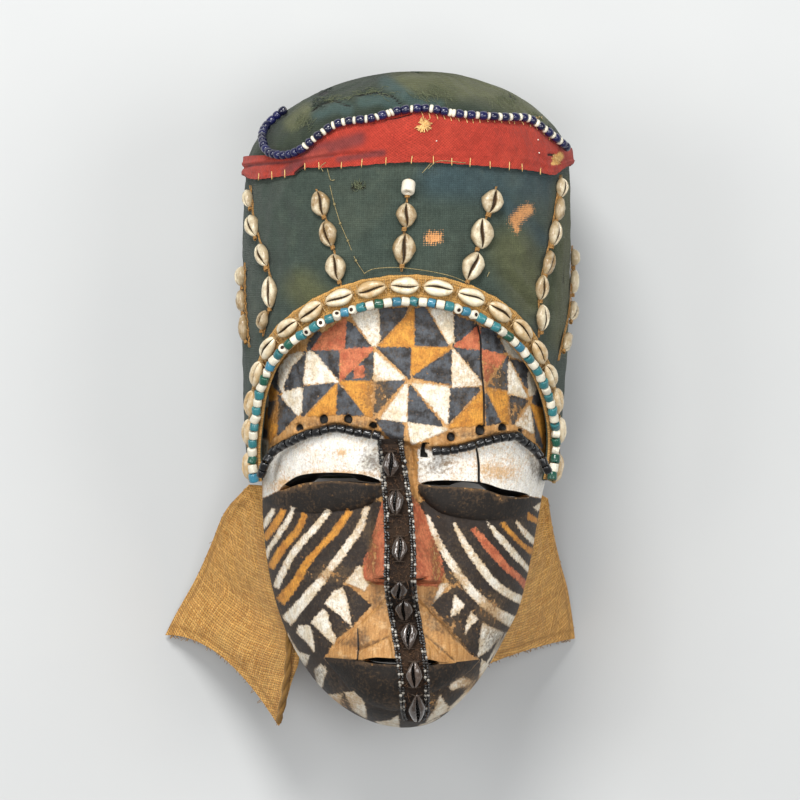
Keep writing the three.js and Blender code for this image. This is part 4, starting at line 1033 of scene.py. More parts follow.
def crown_cloth_shape():
    rows, columns = 68, 276
    low = hood_top + 0.3
    share = np.linspace(0, 1, rows)[:, None]
    y = low + (crown_pole - low) * np.sin(math.pi / 2 * share)
    angle = np.linspace(-math.pi, math.pi, columns, endpoint=False)[None, :] + 0 * share
    y = y + 0 * angle
    slack = 0.9 * ripple(21, angle * 2, y / 40) + 0.4 * ripple(22, angle * 9, y / 16)
    x = hood_point(angle, y)[..., 0]
    top_fold = 1.4 * np.exp(-((y - 200) / 3) ** 2) * (np.cos(angle) > 0) * step(30 - np.abs(x - 10), 0, 12)
    rise = ((slack * 0.7 - 1.2 * np.abs(np.sin(angle * 7 + 0.6)) ** 6 * share + top_fold)
            * step(y - low, 0, 4) - 0.3)
    point = on_hood(angle, y, rise)
    marks = mark_values(crown_marks, point[..., 0], point[..., 1], point[..., 2] > 90)
    rise = rise - 0.9 * marks["torn"]
    shape = Shape()
    slab(shape, on_hood(angle, y, rise), on_hood(angle, y, rise - crown_thickness), wrap=True,
         thread=np.stack([angle * 95, y, rise], -1), **marks)
    # A small round patch closes the gathered cloth at the top.
    turn = np.linspace(0, 2 * math.pi, 48, endpoint=False)[None, :]
    reach = np.linspace(0.02, 1, 8)[:, None] * crown_patch
    aside, down = reach * np.cos(turn), reach * np.sin(turn)
    top = crown_top + 0.2 - 0.7 * (reach / crown_patch) ** 3 + 0 * turn
    patch = np.stack([hood_centre(crown_top) + aside, top, hood_mid_height + down], -1)
    slab(shape, patch, patch - [0, thin_cloth, 0], wrap=True, thread=np.stack([aside, down, 0 * aside], -1))
    return shape


band_lower = [(-98, 141), (-94.4, 138), (-87.5, 137), (-76, 138), (-66.4, 139.2), (-61.6, 142.8),
              (-50, 143), (-31, 143.8), (-10, 145.6), (10.5, 146.1), (39.3, 144.6), (65, 142.7),
              (80, 141.3), (90, 139.6), (96, 143.9), (104, 149)]
band_upper = [(-98, 152), (-76, 152), (-66, 154), (-50, 166), (-40, 171), (-10, 176), (8, 179.5), (30, 177),
              (76, 174.5), (88, 167), (104, 156)]
band_end = 1.8
band_middle_y = 146
band_thickness = 1.5
band_lift = 1.5


band_stitches = [-91, -82.5, -74.4, -61.9, -53.1, -39.4, -26.9, -11.9, 3.8, 17.5, 28.8, 40, 52.5, 64.4,
                 72.5, 83.8]
band_marks = {
    "bare": [([(91, 149), (94, 151.6)], 2.0), ([(88.6, 146.4), (93, 147)], 0.8)],
    "warm": [([(-58, 149), (-50, 152)], 3)],
    # Tears: dented, and painted dark as the shade inside them
    "torn": [([(86.8, 152), (90.6, 152)], 0.8), ([(-66, 140), (-61, 144.4)], 0.9),
             ([(-24, 169.6), (-12, 171.6), (2, 174.6)], 0.35)],
    "cool": [([(-60, 152), (-44, 156), (-30, 160)], 4), ([(-40, 148), (-14, 152)], 2),
             ([(-96, 145.6), (-70, 147), (-44, 150.4)], 0.7), ([(-72, 141), (-64, 146)], 3)],
}
band_fold = [(-98, 145.4), (-84, 146.2), (-68, 146.9), (-50, 149.6), (-36, 151.4), (-10, 151.5), (104, 151)]


def red_band_shape():
    columns, rows = 520, 36
    angle = np.linspace(-band_end, band_end, columns)[None, :]
    share = np.linspace(0, 1, rows)[:, None]
    x = hood_point(angle, band_middle_y)[..., 0]
    low = curve_at(band_lower, x) + 0.25 * ripple(31, angle * 14)
    y = low + (curve_at(band_upper, x) - 0.4 - low) * share
    wide = angle + 0 * share
    spot = x + 0 * share
    marks = mark_values(band_marks, spot, y, np.cos(wide) > 0)
    slack = (0.4 * ripple(32, wide * 5, share * 1.2) + 0.5 * np.exp(-((share - 0.2) / 0.05) ** 2)
             * (spot > 0))
    fold = (y - curve_at(band_fold, spot)) / 1.1
    slack = (slack - 1.1 * np.exp(-fold ** 2) * (1 - step(spot, -30, 0)) + 0.7 * np.exp(-(fold - 1.8) ** 2)
             * (1 - step(spot, -30, 0)))
    pull = np.min([np.abs(spot - at) for at in band_stitches], axis=0)
    stitch = (-0.7 * np.exp(-(pull / 1.2) ** 2) * (1 - step(y - low, 3, 5))
              + 0.35 * np.exp(-((y - low - 1.6) / 1.4) ** 2))
    edge = step(np.minimum(share, 1 - share), 0, 0.08)
    rise = band_lift + band_thickness + (slack + stitch - 0.2 - 0.7 * marks["torn"]) * edge
    shape = Shape()
    girth = np.stack([0.7071 * (wide * 100 + y), 0.7071 * (y - wide * 100), share + 0 * wide], -1)
    slab(shape, on_hood(wide, y, rise), on_hood(wide, y, rise - thin_cloth), thread=girth, **marks)
    return shape


def binding_shape():
    columns, rows = 640, 24
    t = np.linspace(0, 1, columns)[None, :]
    share = np.linspace(0, 1, rows)[:, None]
    out = mix(binding_inner, binding_outer + 0.5 * ripple(41, t * 24), share)
    cord = 0.7 * np.sqrt(np.maximum(1 - ((share - 0.93) / 0.09) ** 2, 0))
    inner = 0.5 * np.sqrt(np.maximum(1 - ((share - 0.04) / 0.06) ** 2, 0))
    twist = 0.12 * np.sin(t * 480 / 1.9 * 2 * math.pi + share * 60) * (cord > 0.05)
    rise = clearance + binding_thickness - 0.6 + cord + inner + twist + 0.15 * ripple(42, t * 60, share * 2)
    shape = Shape()
    slab(shape, arch_point(t, out, rise), arch_point(t, out, clearance + 0 * rise),
         thread=np.stack(np.broadcast_arrays(t * 480, out, share), -1))
    return shape


# Beads

bead_profiles = {
    "round": [(-0.5, 0.3), (-0.5, 0.6), (-0.44, 0.8), (-0.28, 0.95), (0, 1), (0.28, 0.95), (0.44, 0.8),
              (0.5, 0.6), (0.5, 0.3), (0, 0.26)],
    "drum": [(-0.5, 0.34), (-0.5, 0.84), (-0.44, 0.95), (-0.3, 1), (0, 1), (0.3, 1), (0.44, 0.95),
             (0.5, 0.84), (0.5, 0.34), (0, 0.3)],
}


def add_bead(shape, centre, along, up, length, radius, kind="round", sides=14, mark=0, seed=0):
    """A pierced glass bead, its hole along one direction."""
    profile = np.array(bead_profiles[kind])
    around = np.linspace(0, 2 * math.pi, sides, endpoint=False)
    a, r = profile[:, :1] * length, profile[:, 1:] * radius
    local = np.stack(np.broadcast_arrays(a, r * np.cos(around), r * np.sin(around)), -1).reshape(-1, 3)
    shape.add(set_in(local, centre, along, up), grid(len(profile), sides, wrap=True, wrap_rows=True), mark,
              tint=np.full(len(local), float(seed)))


def along_path(path, at):
    """Points and directions at distances along a path of points."""
    length = np.concatenate([[0], np.cumsum(np.linalg.norm(np.diff(path, axis=0), axis=1))])
    ahead = unit(np.gradient(path, axis=0))
    point = np.stack([np.interp(at, length, path[:, k]) for k in range(3)], -1)
    return point, unit(np.stack([np.interp(at, length, ahead[:, k]) for k in range(3)], -1)), length[-1]


def arch_beads_shape():
    """Turquoise, green and white beads in turn; some of the white ones show their brown holes."""
    draw = np.random.default_rng(51)
    path = arch_point(np.linspace(0, 1, 1200), 0, arch_rise)
    length = along_path(path, 0)[2]
    pitch = length / arch_beads
    shape = Shape()
    for i in range(arch_beads):
        point, ahead, _ = along_path(path, (i + 0.5) * pitch)
        up = hood_normal(angle_of(point), point[1])
        white = i % 2 == 1
        turned = white and draw.random() < 0.3
        size = draw.uniform(0.93, 1.03)
        axis = unit(up + 0.4 * draw.normal(size=3)) if turned else unit(ahead + 0.16 * draw.normal(size=3))
        mark = 1 if white else draw.choice([0, 0, 0, 2, 4])
        add_bead(shape, point, axis, ahead if turned else up, (0.84 if turned else 0.96) * pitch * size,
                 arch_bead_radius * (0.96 if white else 1) * size, "drum", 20, mark, draw.random())
        # A turned white bead shows its hole end on; the thread in it is coloured dark, partly as painted
        # shade in the hole
        if turned:
            tube(shape, [point - axis * 2, point + axis * (0.43 * pitch)], 1.25, 12, 5)
    tube(shape, path[::8], string_thread_radius, 5, 3)
    return shape


rim_line = [(-74, 181.5), (-82, 175.5), (-88, 168), (-88.5, 161), (-85, 154), (-76, 151.5), (-66, 154),
            (-54, 163), (-42, 170.5), (-20, 174), (-4, 178.5), (14, 180), (30, 177), (60, 175), (76, 174.5),
            (86, 168.5), (96, 161), (101, 157)]
rim_bead_radius = 2.9


def rim_beads_shape():
    """Navy beads, close together round the left loop, with thin white discs between them on the band."""
    draw = np.random.default_rng(52)
    line = smooth_line(rim_line, 900)
    share = np.linspace(0, 1, 900)
    rise = clearance + rim_bead_radius + step(share, 0.05, 0.13) * (band_lift + band_thickness)
    path = seen(line[:, 0], line[:, 1], rise)
    length = along_path(path, 0)[2]
    shape = Shape()
    at, loop = 0.0, 0.3 * length
    white = False
    while at < length - 2:
        width = draw.uniform(1.9, 2.7) if white else draw.uniform(4.3, 5.5)
        point, ahead, _ = along_path(path, at + width / 2)
        up = hood_normal(angle_of(point), point[1])
        size = rim_bead_radius * (draw.uniform(0.8, 0.9) if white else draw.uniform(0.93, 1.0))
        add_bead(shape, point, unit(ahead + 0.13 * draw.normal(size=3)), up, width, size, "round", 20,
                 1 if white else 0, draw.random())
        at += width + 0.05
        white = draw.random() < (0.12 if white else 0.9) and at > loop
    tube(shape, path[::8], string_thread_radius, 5, 2)
    return shape


string_thread_radius = 0.5
brow_bead_drop = 1.9
brow_bead_out = 7
brow_bead_radius = 2.85


def brow_bead_path(x):
    """Points of a brow's bead string at a given x, lifted over the edge of the hood at its outer end."""
    y = curve_at(brow_line, x) - brow_bead_drop
    foot_x, foot_y, normal = x, y, np.zeros((len(x), 3))
    for _ in range(10):
        across = np.clip(across_at(foot_x, foot_y), -0.99, 0.99)
        aside = face_base(across + 0.005, foot_y) - face_base(across - 0.005, foot_y)
        upward = face_base(across, foot_y + 0.5) - face_base(across, foot_y - 0.5)
        normal = brow_bead_out * unit(np.cross(aside, upward))
        foot_x, foot_y = mix(foot_x, x - normal[:, 0], 0.6), mix(foot_y, y - normal[:, 1], 0.6)
    path = face_base(np.clip(across_at(foot_x, foot_y), -0.99, 0.99), foot_y) + normal
    path[:, 2] += 13 * step(np.abs(x), 80, 90)
    return path, normal


# Where each string of brow beads starts and ends, and how many beads it has
brow_strings = {"left": (-90, -15, 18), "right": (16.5, 89, 17)}


def brow_beads_shape(start, end, count):
    draw = np.random.default_rng(int(abs(start)))
    path, normal = brow_bead_path(np.linspace(start, end, 400))
    length = along_path(path, 0)[2]
    pitch = length / count
    shape = Shape()
    for i in range(count):
        point, ahead, _ = along_path(path, (i + 0.5) * pitch)
        up = normal[min(int((i + 0.5) / count * 400), 399)]
        add_bead(shape, point + 0.15 * draw.normal(size=3), unit(ahead + 0.06 * draw.normal(size=3)), up,
                 pitch * draw.uniform(0.88, 0.97), brow_bead_radius * draw.uniform(0.95, 1.03), "drum", 18,
                 0, draw.random())
    tube(shape, path[::6], 0.45, 5, 1)
    return shape


# Cowries

def add_cowrie(shape, centre, along, up, length, width, height, seed, mark=0, angular=0.0, toothed=0.035,
               groove=0.18):
    """A cowrie on its back: two swollen lips either side of a bent, toothed mouth, on a flatter shell."""
    draw = np.random.default_rng(seed)
    rings, top, low = 34, 37, 8
    x = np.sin(np.linspace(-math.pi / 2, math.pi / 2, rings))[:, None]
    skew = draw.uniform(0.1, 0.34)
    ends = np.sqrt(np.maximum(1 - np.abs(x) ** 2.1, 0))
    knobs = 1 + 0.05 * ripple(seed + 5, x * 0.9)
    peak = lambda at: np.maximum(1 - np.abs(x - at) / (1 - at * np.sign(x - at)), 0) ** 0.75
    half = [mix(ends, peak(draw.uniform(-0.4, 0.1) * (1 if k else 0.6)), angular)
            * (1 + skew * x * (1 - np.abs(x))) for k in (0, 1)]
    shelf = (1 - np.abs(x) ** 2.4) ** 0.6
    bend = draw.choice([-1, 1])
    mouth = ends * bend * (0.06 + 0.12 * np.sin(2.2 * x + draw.uniform(0.2, 0.9)))
    s = np.linspace(-1, 1, top)[None, :]
    away = np.abs(s) ** 1.35
    y = mouth + np.where(s > 0, half[1] - mouth, half[0] + mouth) * away * np.sign(s)
    crest = 0.4
    lip = 1 - (1 - np.minimum(away / crest, 1)) ** 2.2
    fall = np.sqrt(np.maximum(1 - (np.maximum(away - crest, 0) / (1 - crest)) ** 2.2, 0))
    open_end = step(np.abs(x), 0.8, 1)
    rise = np.where(away < crest, 0.22 + 0.78 * lip, 0.02 + 0.98 * fall) * (1 - 0.25 * open_end)
    window = np.exp(-((away - 0.16) / 0.15) ** 2) * (1 - step(np.abs(x), 0.72, 0.9))
    teeth = np.cos(x * 2 * math.pi * draw.uniform(5.5, 6.6) + 0.4 * s) * window
    ribs = 0.012 * np.cos(x * 2 * math.pi * 8 + 2 * ripple(seed + 3, x * 2, s)) * np.minimum(away * 2, 1)
    z = (shelf * (0.66 * rise * knobs) + toothed * teeth * shelf + 0.03 * ripple(seed, x * 1.3, s * 0.9)
         * shelf)
    z = z + ribs * shelf
    under = np.linspace(1, -1, low + 2)[None, 1:-1]
    y = np.concatenate([y, np.where(under > 0, half[1], half[0]) * under], 1)
    z = np.concatenate([z, -0.34 * shelf * np.sqrt(1 - under ** 2)], 1)
    grown = draw.uniform(0.95, 1.01, 3)
    local = np.stack(np.broadcast_arrays(x * length / 2 * grown[0], y * width / 2 * grown[1],
                                         (0.34 + z) * height * grown[2]), -1)
    gape = groove * (1 - 0.35 * np.abs(x)) * draw.uniform(0.85, 1.2)
    # Painted shade: the mouth's groove and the gaps between its teeth are coloured darker
    depth = (1 - step(away, 0.4 * gape, gape)) * (1 - 0.5 * open_end) + 0.3 * step(-teeth, 0.1, 0.7)
    # Darker towards the rim and underneath: partly the shell's tan edge, partly painted shade where it turns
    # down
    rim = np.concatenate([step(away + 0 * x, 0.62, 1), np.ones((rings, low))], 1)
    mouth_shade = np.concatenate([np.clip(depth, 0, 1), np.zeros((rings, low))], 1)
    shape.add(set_in(local.reshape(-1, 3), centre, along, up), grid(rings, top + low, wrap=True), mark,
              mouth=mouth_shade.ravel(), rim=rim.ravel(), tint=np.full(local.size // 3, draw.random()))


def arch_cowrie_shape(index, shell_length):
    t = (index + 0.5) / arch_shells
    rise = clearance + binding_thickness + sewn_gap
    point = arch_point(t, arch_shell_row, rise)
    along = unit(arch_point(min(t + 0.01, 1), arch_shell_row, 0)
                 - arch_point(max(t - 0.01, 0), arch_shell_row, 0))
    up = hood_normal(angle_of(point), point[1])
    draw = np.random.default_rng(600 + index)
    flip = draw.choice([-1, 1])
    shape = Shape()
    lean = unit(along + draw.normal() * 0.07 * np.cross(up, along)) * flip
    add_cowrie(shape, point, lean, up, shell_length, arch_shell_width, arch_shell_height, 700 + index)
    for end in (-1, 1):
        add_knot(shape, point + end * along * arch_knot_at + up * 1.2, along, up, 0.9)
        side = np.cross(up, along)
        loop = smooth_line([point + end * along * arch_loop_at + side * k * arch_loop_half
                            + up * (1.4 - 0.32 * abs(k) * 3) for k in (-1, -0.4, 0.4, 1)], 14)
        tube(shape, loop, 0.4, 5, 1)
    return shape


strings = {
    "front_string_left": [(-51.8, 120.8, 16, 12.6), (-46.1, 102.5, 16.5, 13), (-41.8, 81.7, 17, 14.5)],
    "front_string_middle": [(2, 130.5, 8, 8.5), (0.2, 113.6, 15.5, 13.5), (-1.2, 92.8, 19.5, 15)],
    "front_string_right": [(53.3, 122.2, 16, 14.2), (46.9, 102.5, 19, 15.6), (40.8, 82.4, 18.5, 15)],
    "side_string_left": [(-95.4, 125.2, 13, 8), (-93.1, 107.8, 16.5, 11.2), (-86.6, 89.6, 17.4, 10.6),
                         (-82.6, 66.6, 19.6, 11.5), (-86, 49.5, 12.5, 8.5)],
    "side_string_right": [(95.3, 131.8, 13, 9), (93.4, 118.9, 15.5, 10.6), (90.8, 103.4, 16.5, 10.6),
                          (86.8, 85, 16.5, 12), (83.4, 69.5, 15.5, 9.5), (83.1, 51, 16.5, 10.5)],
    "edge_string_left": [(-99.8, 77, 13, 9), (-99.6, 62, 15, 11), (-98, 45, 17, 11)],
    "edge_string_right": [(105.2, 89.4, 11, 8), (104.4, 74.6, 16.5, 10), (102.6, 55.6, 16.5, 10.5),
                          (98.2, 36.6, 17, 11)],
}
string_shell_height = 6
# What is shorter and narrower than this is a bead
string_bead = 9
string_shell_scale = 1.04


def add_knot(shape, centre, along, up, size=1.0, mark=1):
    """A few turns of thread round a string where a shell is tied on."""
    side = np.cross(up, along)
    turn = np.linspace(0, 2 * math.pi * 2.6, 30)[:, None]
    ring = (centre + size * (np.cos(turn) * side * 1.25 + np.sin(turn) * up * 1.0) + along * (turn / 8 - 1)
            * size)
    tube(shape, ring, 0.42 * size, 5, mark)


def string_shape(name):
    shown = np.array(strings[name], float)
    draw = np.random.default_rng(sum(map(ord, name)))
    shape = Shape()
    spots = shown[:, :2]
    first = spots[0] + (spots[0] - spots[1]) / np.linalg.norm(spots[0] - spots[1]) * (shown[0, 2] / 2 + 2)
    last = (spots[-1] + (spots[-1] - spots[-2]) / np.linalg.norm(spots[-1] - spots[-2])
            * (shown[-1, 2] / 2 + 4))
    stops = smooth_line([first, *spots, last], 90)
    path = seen(stops[:, 0], stops[:, 1], clearance + 1)
    for i, (x, y, length, width) in enumerate(shown):
        before = spots[i - 1] if i else first
        after = spots[i + 1] if i + 1 < len(spots) else last
        point = seen(x, y, clearance)
        heading = unit(seen(*after, clearance) - seen(*before, clearance))
        angle, low = foot_under(np.array(x), np.array(y), np.array(clearance))
        up = hood_normal(angle, low)
        if width < string_bead and length < string_bead:
            add_bead(shape, point + up * 3.6, unit(heading + 0.5 * up), up, length, width / 2, "drum", 24,
                     2, 0.2)
        else:
            lean = (unit(heading + 0.12 * draw.normal() * np.cross(up, heading))
                    * (-1 if draw.random() < 0.6 else 1))
            roll = unit(up + 0.22 * draw.normal() * np.cross(up, heading))
            add_cowrie(shape, point + up * 0.1, lean, roll, length * string_shell_scale,
                       width * string_shell_scale, string_shell_height, int(1000 * x + y) % 9973,
                       angular=0.45, groove=0.22)
        add_knot(shape, point + heading * (length / 2 + 0.9) + up * 2, heading, up, draw.uniform(0.9, 1.15))
    for offset in (0.35, -0.35):
        waver = np.stack([ripple(int(abs(first[0]) * 9 + 20 * offset) + 90, np.arange(90) / 9.0)] * 3, -1)
        tube(shape, path + 0.3 * waver + [offset, 0, 0], 0.3, 5, 1)
    return shape


# Threads on the cloths as they show from the front: each a line and how far it stands off the cloth
long_threads = [([(-46.4, 132.3), (-43.6, 120.8), (-40, 108.9)], 0.7), ([(-40, 108.9), (-35.3, 98.2)], 0.6),
                ([(-35.3, 98.2), (-30.3, 86), (-24.9, 77.7)], 0.7),
                ([(-25.4, 77.6), (-21.2, 80.2), (-8.8, 81.6), (6, 80.6), (28, 76.4), (39, 72)], 2.6),
                ([(-48.1, 143.1), (-45.6, 135.6), (-43.4, 135.8)], 1),
                ([(-50.6, 141), (-52, 144), (-49, 146.6)], 3.2),
                ([(14.4, 142.5), (19.4, 146.9), (37.5, 146.2)], 3.2),
                ([(17.6, 148.6), (14.6, 144.4), (10.6, 140)], 2), ([(52, 79), (50.6, 76)], 1),
                ([(-44, 76.6), (-43.4, 74)], 1.4), ([(97.6, 140), (98.6, 134)], 1.6)]
thread_knots = [(-40, 108.9), (-35.3, 98.2), (-30.3, 86), (-43.6, 120.8)]
star_knot = (11, 169.6)
star_reach = 4.8
pale_specks = [(19.4, 159.7), (82.5, 161.3), (83.1, 153.1)]
# Places where the cloth is frayed: middle, half sizes, heading in degrees, how many threads, how long,
# and which material
frays = [(-29.4, 131.6, 3.6, 2.6, 95, 26, 4.5, 1), (-29.8, 131.4, 2.6, 2, 10, 18, 4, 1),
         (92.6, 150.4, 3, 2.4, -25, 22, 5, 0), (90, 166, 3, 3, 60, 70, 5, 2),
         (14, 192, 16, 5, -38, 60, 10, 1), (62, 190, 12, 5, -62, 46, 9, 1), (-64, 171, 7, 5, 70, 24, 7, 1),
         (-56, 184, 4, 3, 20, 22, 5, 2), (-20, 190.6, 12, 2, 8, 30, 6, 1),
         (-44, 186.4, 12, 2, 10, 30, 6, 1), (82, 178, 6, 6, -55, 40, 8, 1), (-52, 193, 5, 2, 35, 26, 5, 2),
         (70, 176, 26, 1.2, -80, 46, 2.4, 0), (98.4, 82, 1.6, 12, 80, 26, 5, 1)]
band_stitch_length = 4.2
thread_radius, stitch_radius, whip_radius = 0.24, 0.36, 0.26
star_threads = 64
whip_stitches = np.arange(10, 93, 4.4)


def threads_shape():
    """The band's stitches, the whipping of its bead string, the knot on it and the loose threads."""
    draw = np.random.default_rng(91)
    on_band = band_lift + band_thickness
    lines = [(smooth_line(line, 26), rise, thread_radius, 4) for line, rise in long_threads]
    for x in band_stitches:
        low = curve_at(band_lower, x)
        reach = band_stitch_length * draw.uniform(0.75, 1.1)
        lean = draw.normal(0, 0.35)
        lines.append((smooth_line([(x, low - 0.7), (x + 0.3 * lean, low + 1.4), (x + lean, low + reach)],
                                  7), np.array([-0.4, 0.3, 0.45, 0.45, 0.45, 0.35, 0]) + on_band,
                      stitch_radius, 0))
    for x in whip_stitches:
        top = curve_at(band_upper, x) - 1.6
        lean = draw.uniform(0.2, 1.6)
        lines.append((smooth_line([(x, top), (x + lean, top - 2),
                                   (x + 1.4 * lean, top - draw.uniform(3, 4))], 7), on_band + 0.5,
                      whip_radius, 0))
    for turn in draw.uniform(0, 2 * math.pi, star_threads):
        reach = star_reach * draw.uniform(0.6, 1.1)
        end = np.array(star_knot) + reach * np.array([1.15 * math.cos(turn), math.sin(turn)])
        lines.append((smooth_line([star_knot, mix(np.array(star_knot), end, 0.5)
                                   + 0.3 * draw.normal(size=2), end], 7), on_band + 0.5
                      + 0.5 * draw.random(), thread_radius, 0))
    for x, y, wide, high, heading, count, length, mark in frays:
        for _ in range(count):
            # Threads that would stand out past the cloth's outline are left out.
            start = np.array([x + wide * draw.normal(0, 0.5), y + high * draw.normal(0, 0.5)])
            turn = math.radians(heading + draw.normal(0, 16))
            ahead = length * draw.uniform(0.4, 1) * np.array([math.cos(turn), math.sin(turn)])
            bend = 0.14 * length * draw.normal() * np.array([-math.sin(turn), math.cos(turn)])
            stands = on_band + 0.3 if mark == 0 else draw.uniform(0.15, 1.1) + 1.6 * (mark == 2)
            line = smooth_line([start, start + 0.5 * ahead + bend, start + ahead], 7)
            radius = draw.uniform(0.11, 0.17)
            across = (np.abs(line[:, 0] - hood_centre(line[:, 1]))
                      / hood_side(np.minimum(line[:, 1], crown_top - 1)))
            if across.max() < 0.95 and line[:, 1].max() < crown_top - 3:
                lines.append((line, stands, radius, mark))
    flat = np.vstack([line for line, _, _, _ in lines])
    rises = np.concatenate([np.broadcast_to(rise, len(line)) for line, rise, _, _ in lines])
    points = seen(flat[:, 0], flat[:, 1], rises)
    shape = Shape()
    start = 0
    for line, _, radius, mark in lines:
        tube(shape, points[start:start + len(line)], radius, 4, mark)
        start += len(line)
    for x, y in thread_knots:
        add_knot(shape, seen(x, y, 0.9), np.array([0.4, -0.9, 0.0]), np.array([0.0, 0.0, 1.0]), 0.5, 4)
    for x, y in pale_specks:
        add_bead(shape, seen(x, y, on_band + 0.3), [1, 0, 0], [0, 0, 1], 0.8, 0.42, "round", 8, 3, 0)
    return shape


# Nose strip

strip_top_y, strip_low_y = -24, -199
strip_line = [(-200, 6.3), (-169, 5.2), (-146, 2), (-116, -2.8), (-92, -3), (-64, -4.5), (-24, -9.5)]
strip_half = [(-200, 6), (-192, 8.8), (-116, 9.8), (-64, 9), (-24, 7.5)]
strip_thickness = 1.4
strip_slope = 1.4
strip_lift = 1

strip_at = np.linspace(strip_top_y + 1, strip_low_y - 1, 353)
strip_wood = np.max([wood_point(curve_at(strip_line, strip_at) + curve_at(strip_half, strip_at) * s,
                                strip_at)[:, 2] for s in (-1, -0.5, 0, 0.5, 1)], axis=0)


def strip_under(y):
    """The strip's underside: it touches the wood and falls no steeper than its stiffness lets it."""
    y = np.asarray(y, float)
    return np.max(strip_wood - strip_slope * np.abs(strip_at - y[..., None]), axis=-1) + strip_lift


strip_fibres = 1000
strip_bead_length, strip_bead_pitch = 1.7, 1.75


def nose_strip_shape():
    rows, columns = 340, 18
    y = np.linspace(strip_top_y, strip_low_y, rows)[:, None]
    share = np.linspace(-1, 1, columns)[None, :]
    y, share = np.broadcast_arrays(y, share)
    x = curve_at(strip_line, y) + curve_at(strip_half, y) * share * (1 + 0.025 * ripple(61, y / 14))
    roll = 0.5 * np.exp(-((np.abs(share) - 0.86) / 0.09) ** 2)
    z = strip_under(y) + strip_thickness - 0.55 + roll + 0.18 * ripple(62, y / 8, share)
    shape = Shape()
    slab(shape, np.stack([x, y, z], -1), np.stack([x, y, strip_under(y) + 0.1], -1),
         thread=np.stack([share * 9, y, z], -1))
    return shape


def strip_trim_shape():
    """The glass beads sewn along both edges of the nose strip, and its frayed fibres."""
    shape = Shape()
    draw = np.random.default_rng(63)
    for side in (-1, -0.8, 0.8, 1):
        at = strip_top_y - 1.0
        while at > strip_low_y + 1:
            here = np.array([curve_at(strip_line, at) + side * curve_at(strip_half, at) * 0.93, at,
                             strip_under(at) + strip_thickness + 0.4])
            slope = float(strip_under(at + 0.5) - strip_under(at - 0.5))
            ahead = unit(np.array([0.5 * draw.normal(), 1, slope]))
            # About a quarter of the beads are grey glass, which also stand as painted glints on the dark rows
            if draw.random() < 0.95:
                add_bead(shape, here + 0.16 * draw.normal(size=3), ahead, [0, 0, 1], strip_bead_length,
                         draw.uniform(0.8, 1.05), "round", 7, 0 if draw.random() < 0.76 else 1,
                         draw.random())
            at -= strip_bead_pitch / math.hypot(1, slope)
    for _ in range(strip_fibres):
        at = draw.uniform(strip_low_y + 2, strip_top_y - 2)
        aside = draw.uniform(-0.95, 0.95)
        root = np.array([curve_at(strip_line, at) + aside * curve_at(strip_half, at), at,
                         strip_under(at) + strip_thickness - 0.3])
        lean = np.array([draw.normal(), draw.normal(), 0.0])
        reach = draw.uniform(0.5, 1.0)
        tube(shape, [root, root + reach * (0.7 * lean + [0, 0, 1.0]),
                     root + reach * (1.7 * lean + [0, 0, 1.2])], 0.16, 3, 2)
    return shape


nose_shells = [(-9, -39.3, 17), (-5.8, -63.5, 17), (-3.6, -92.2, 17), (-3.6, -115.6, 11),
               (-0.6, -128.7, 15), (2.4, -145.9, 17), (5.6, -168.9, 17.5), (7.4, -188.9, 17.5)]
nose_shell_width = 11.5
nose_shell_height = 5.5


def nose_cowrie_shape(index):
    x, y, length = nose_shells[index]
    half = length / 2
    top = lambda at: float(strip_under(at)) + strip_thickness
    slope = (top(y + half) - top(y - half)) / length
    level = lambda at: (top(y + half) + top(y - half)) / 2 + slope * (at - y)
    lift = max(top(y + half * s) - level(y + half * s) for s in (-1, -0.5, 0, 0.5, 1))
    along = unit(np.array([0.0, 1.0, slope]))
    up = np.cross([1, 0, 0], along)
    shape = Shape()
    add_cowrie(shape, np.array([x, y, level(y) + lift + sewn_gap]), along * (-1 if index % 2 else 1), up,
               length * math.hypot(1, slope), nose_shell_width, nose_shell_height, 800 + index,
               angular=0.7, toothed=0.13, groove=0.26)
    for end in (-1, 1):
        start = (np.array([x, y, level(y) + lift]) + end * along * (half * math.hypot(1, slope) - 0.8)
                 + up * 1.2)
        loop = smooth_line([start - [3.4, 0, 1.4], start + up * 1.3, start + [3.4, 0, -1.4]], 12)
        tube(shape, loop, 0.5, 6, 1)
    return shape


# Neck cloths

neck_cloths = {
    "left": {
        "inner": [(-84, -54, 104.5), (-80, -100, 105), (-73, -136, 107), (-66, -158, 108), (-72, -180, 92),
                  (-79, -205, 72)],
        "outer": [(-98, -53, 92), (-113, -70, 66), (-122, -91, 44), (-132, -113, 22), (-146, -138, 6),
                  (-152, -150, 2)],
        "bow": 15,
        "side": 1,
        "hems": [([(-74, -138, 108), (-72.6, -152, 107.5), (-73.4, -168, 101), (-75.8, -185, 89),
                   (-79.6, -203, 74)], 1.5)],
    },
    "right": {
        "inner": [(80, -56, 104.5), (71, -100, 105), (62, -132, 107), (52, -152, 108), (44, -168, 108)],
        "outer": [(90, -62, 88), (93, -82, 64), (97.5, -102, 40), (102.5, -120, 20), (105.6, -138, 6),
                  (107.5, -152, 2)],
        "bow": 2,
        "side": -1,
    },
}
cloth_sag = 10
frayed_threads = 90


def cloth_at(cloth, s, t):
    """A point of a neck cloth: s runs from the sewn edge to the free edge, t down the cloth."""
    lines = [smooth_line(cloth[edge], 600) for edge in ("inner", "outer")]
    at = np.clip(t, 0, 1) * 599
    near, far = [np.stack([np.interp(at, np.arange(600), line[:, k]) for k in range(3)], -1)
                 for line in lines]
    point = near + (far - near) * s[..., None]
    point[..., 1] += cloth["bow"] * 4 * s * (1 - s) * t ** 3
    point[..., 2] -= cloth_sag * np.sin(math.pi * s) * np.sin(math.pi * np.minimum(t + 0.1, 1))
    return point


def hem_shade(s, t):
    """Where the turned hem's stitch line runs, beside the free edges."""
    return np.maximum(np.exp(-((s - 0.95) / 0.012) ** 2), np.exp(-((t - 0.955) / 0.01) ** 2)) * 0.7


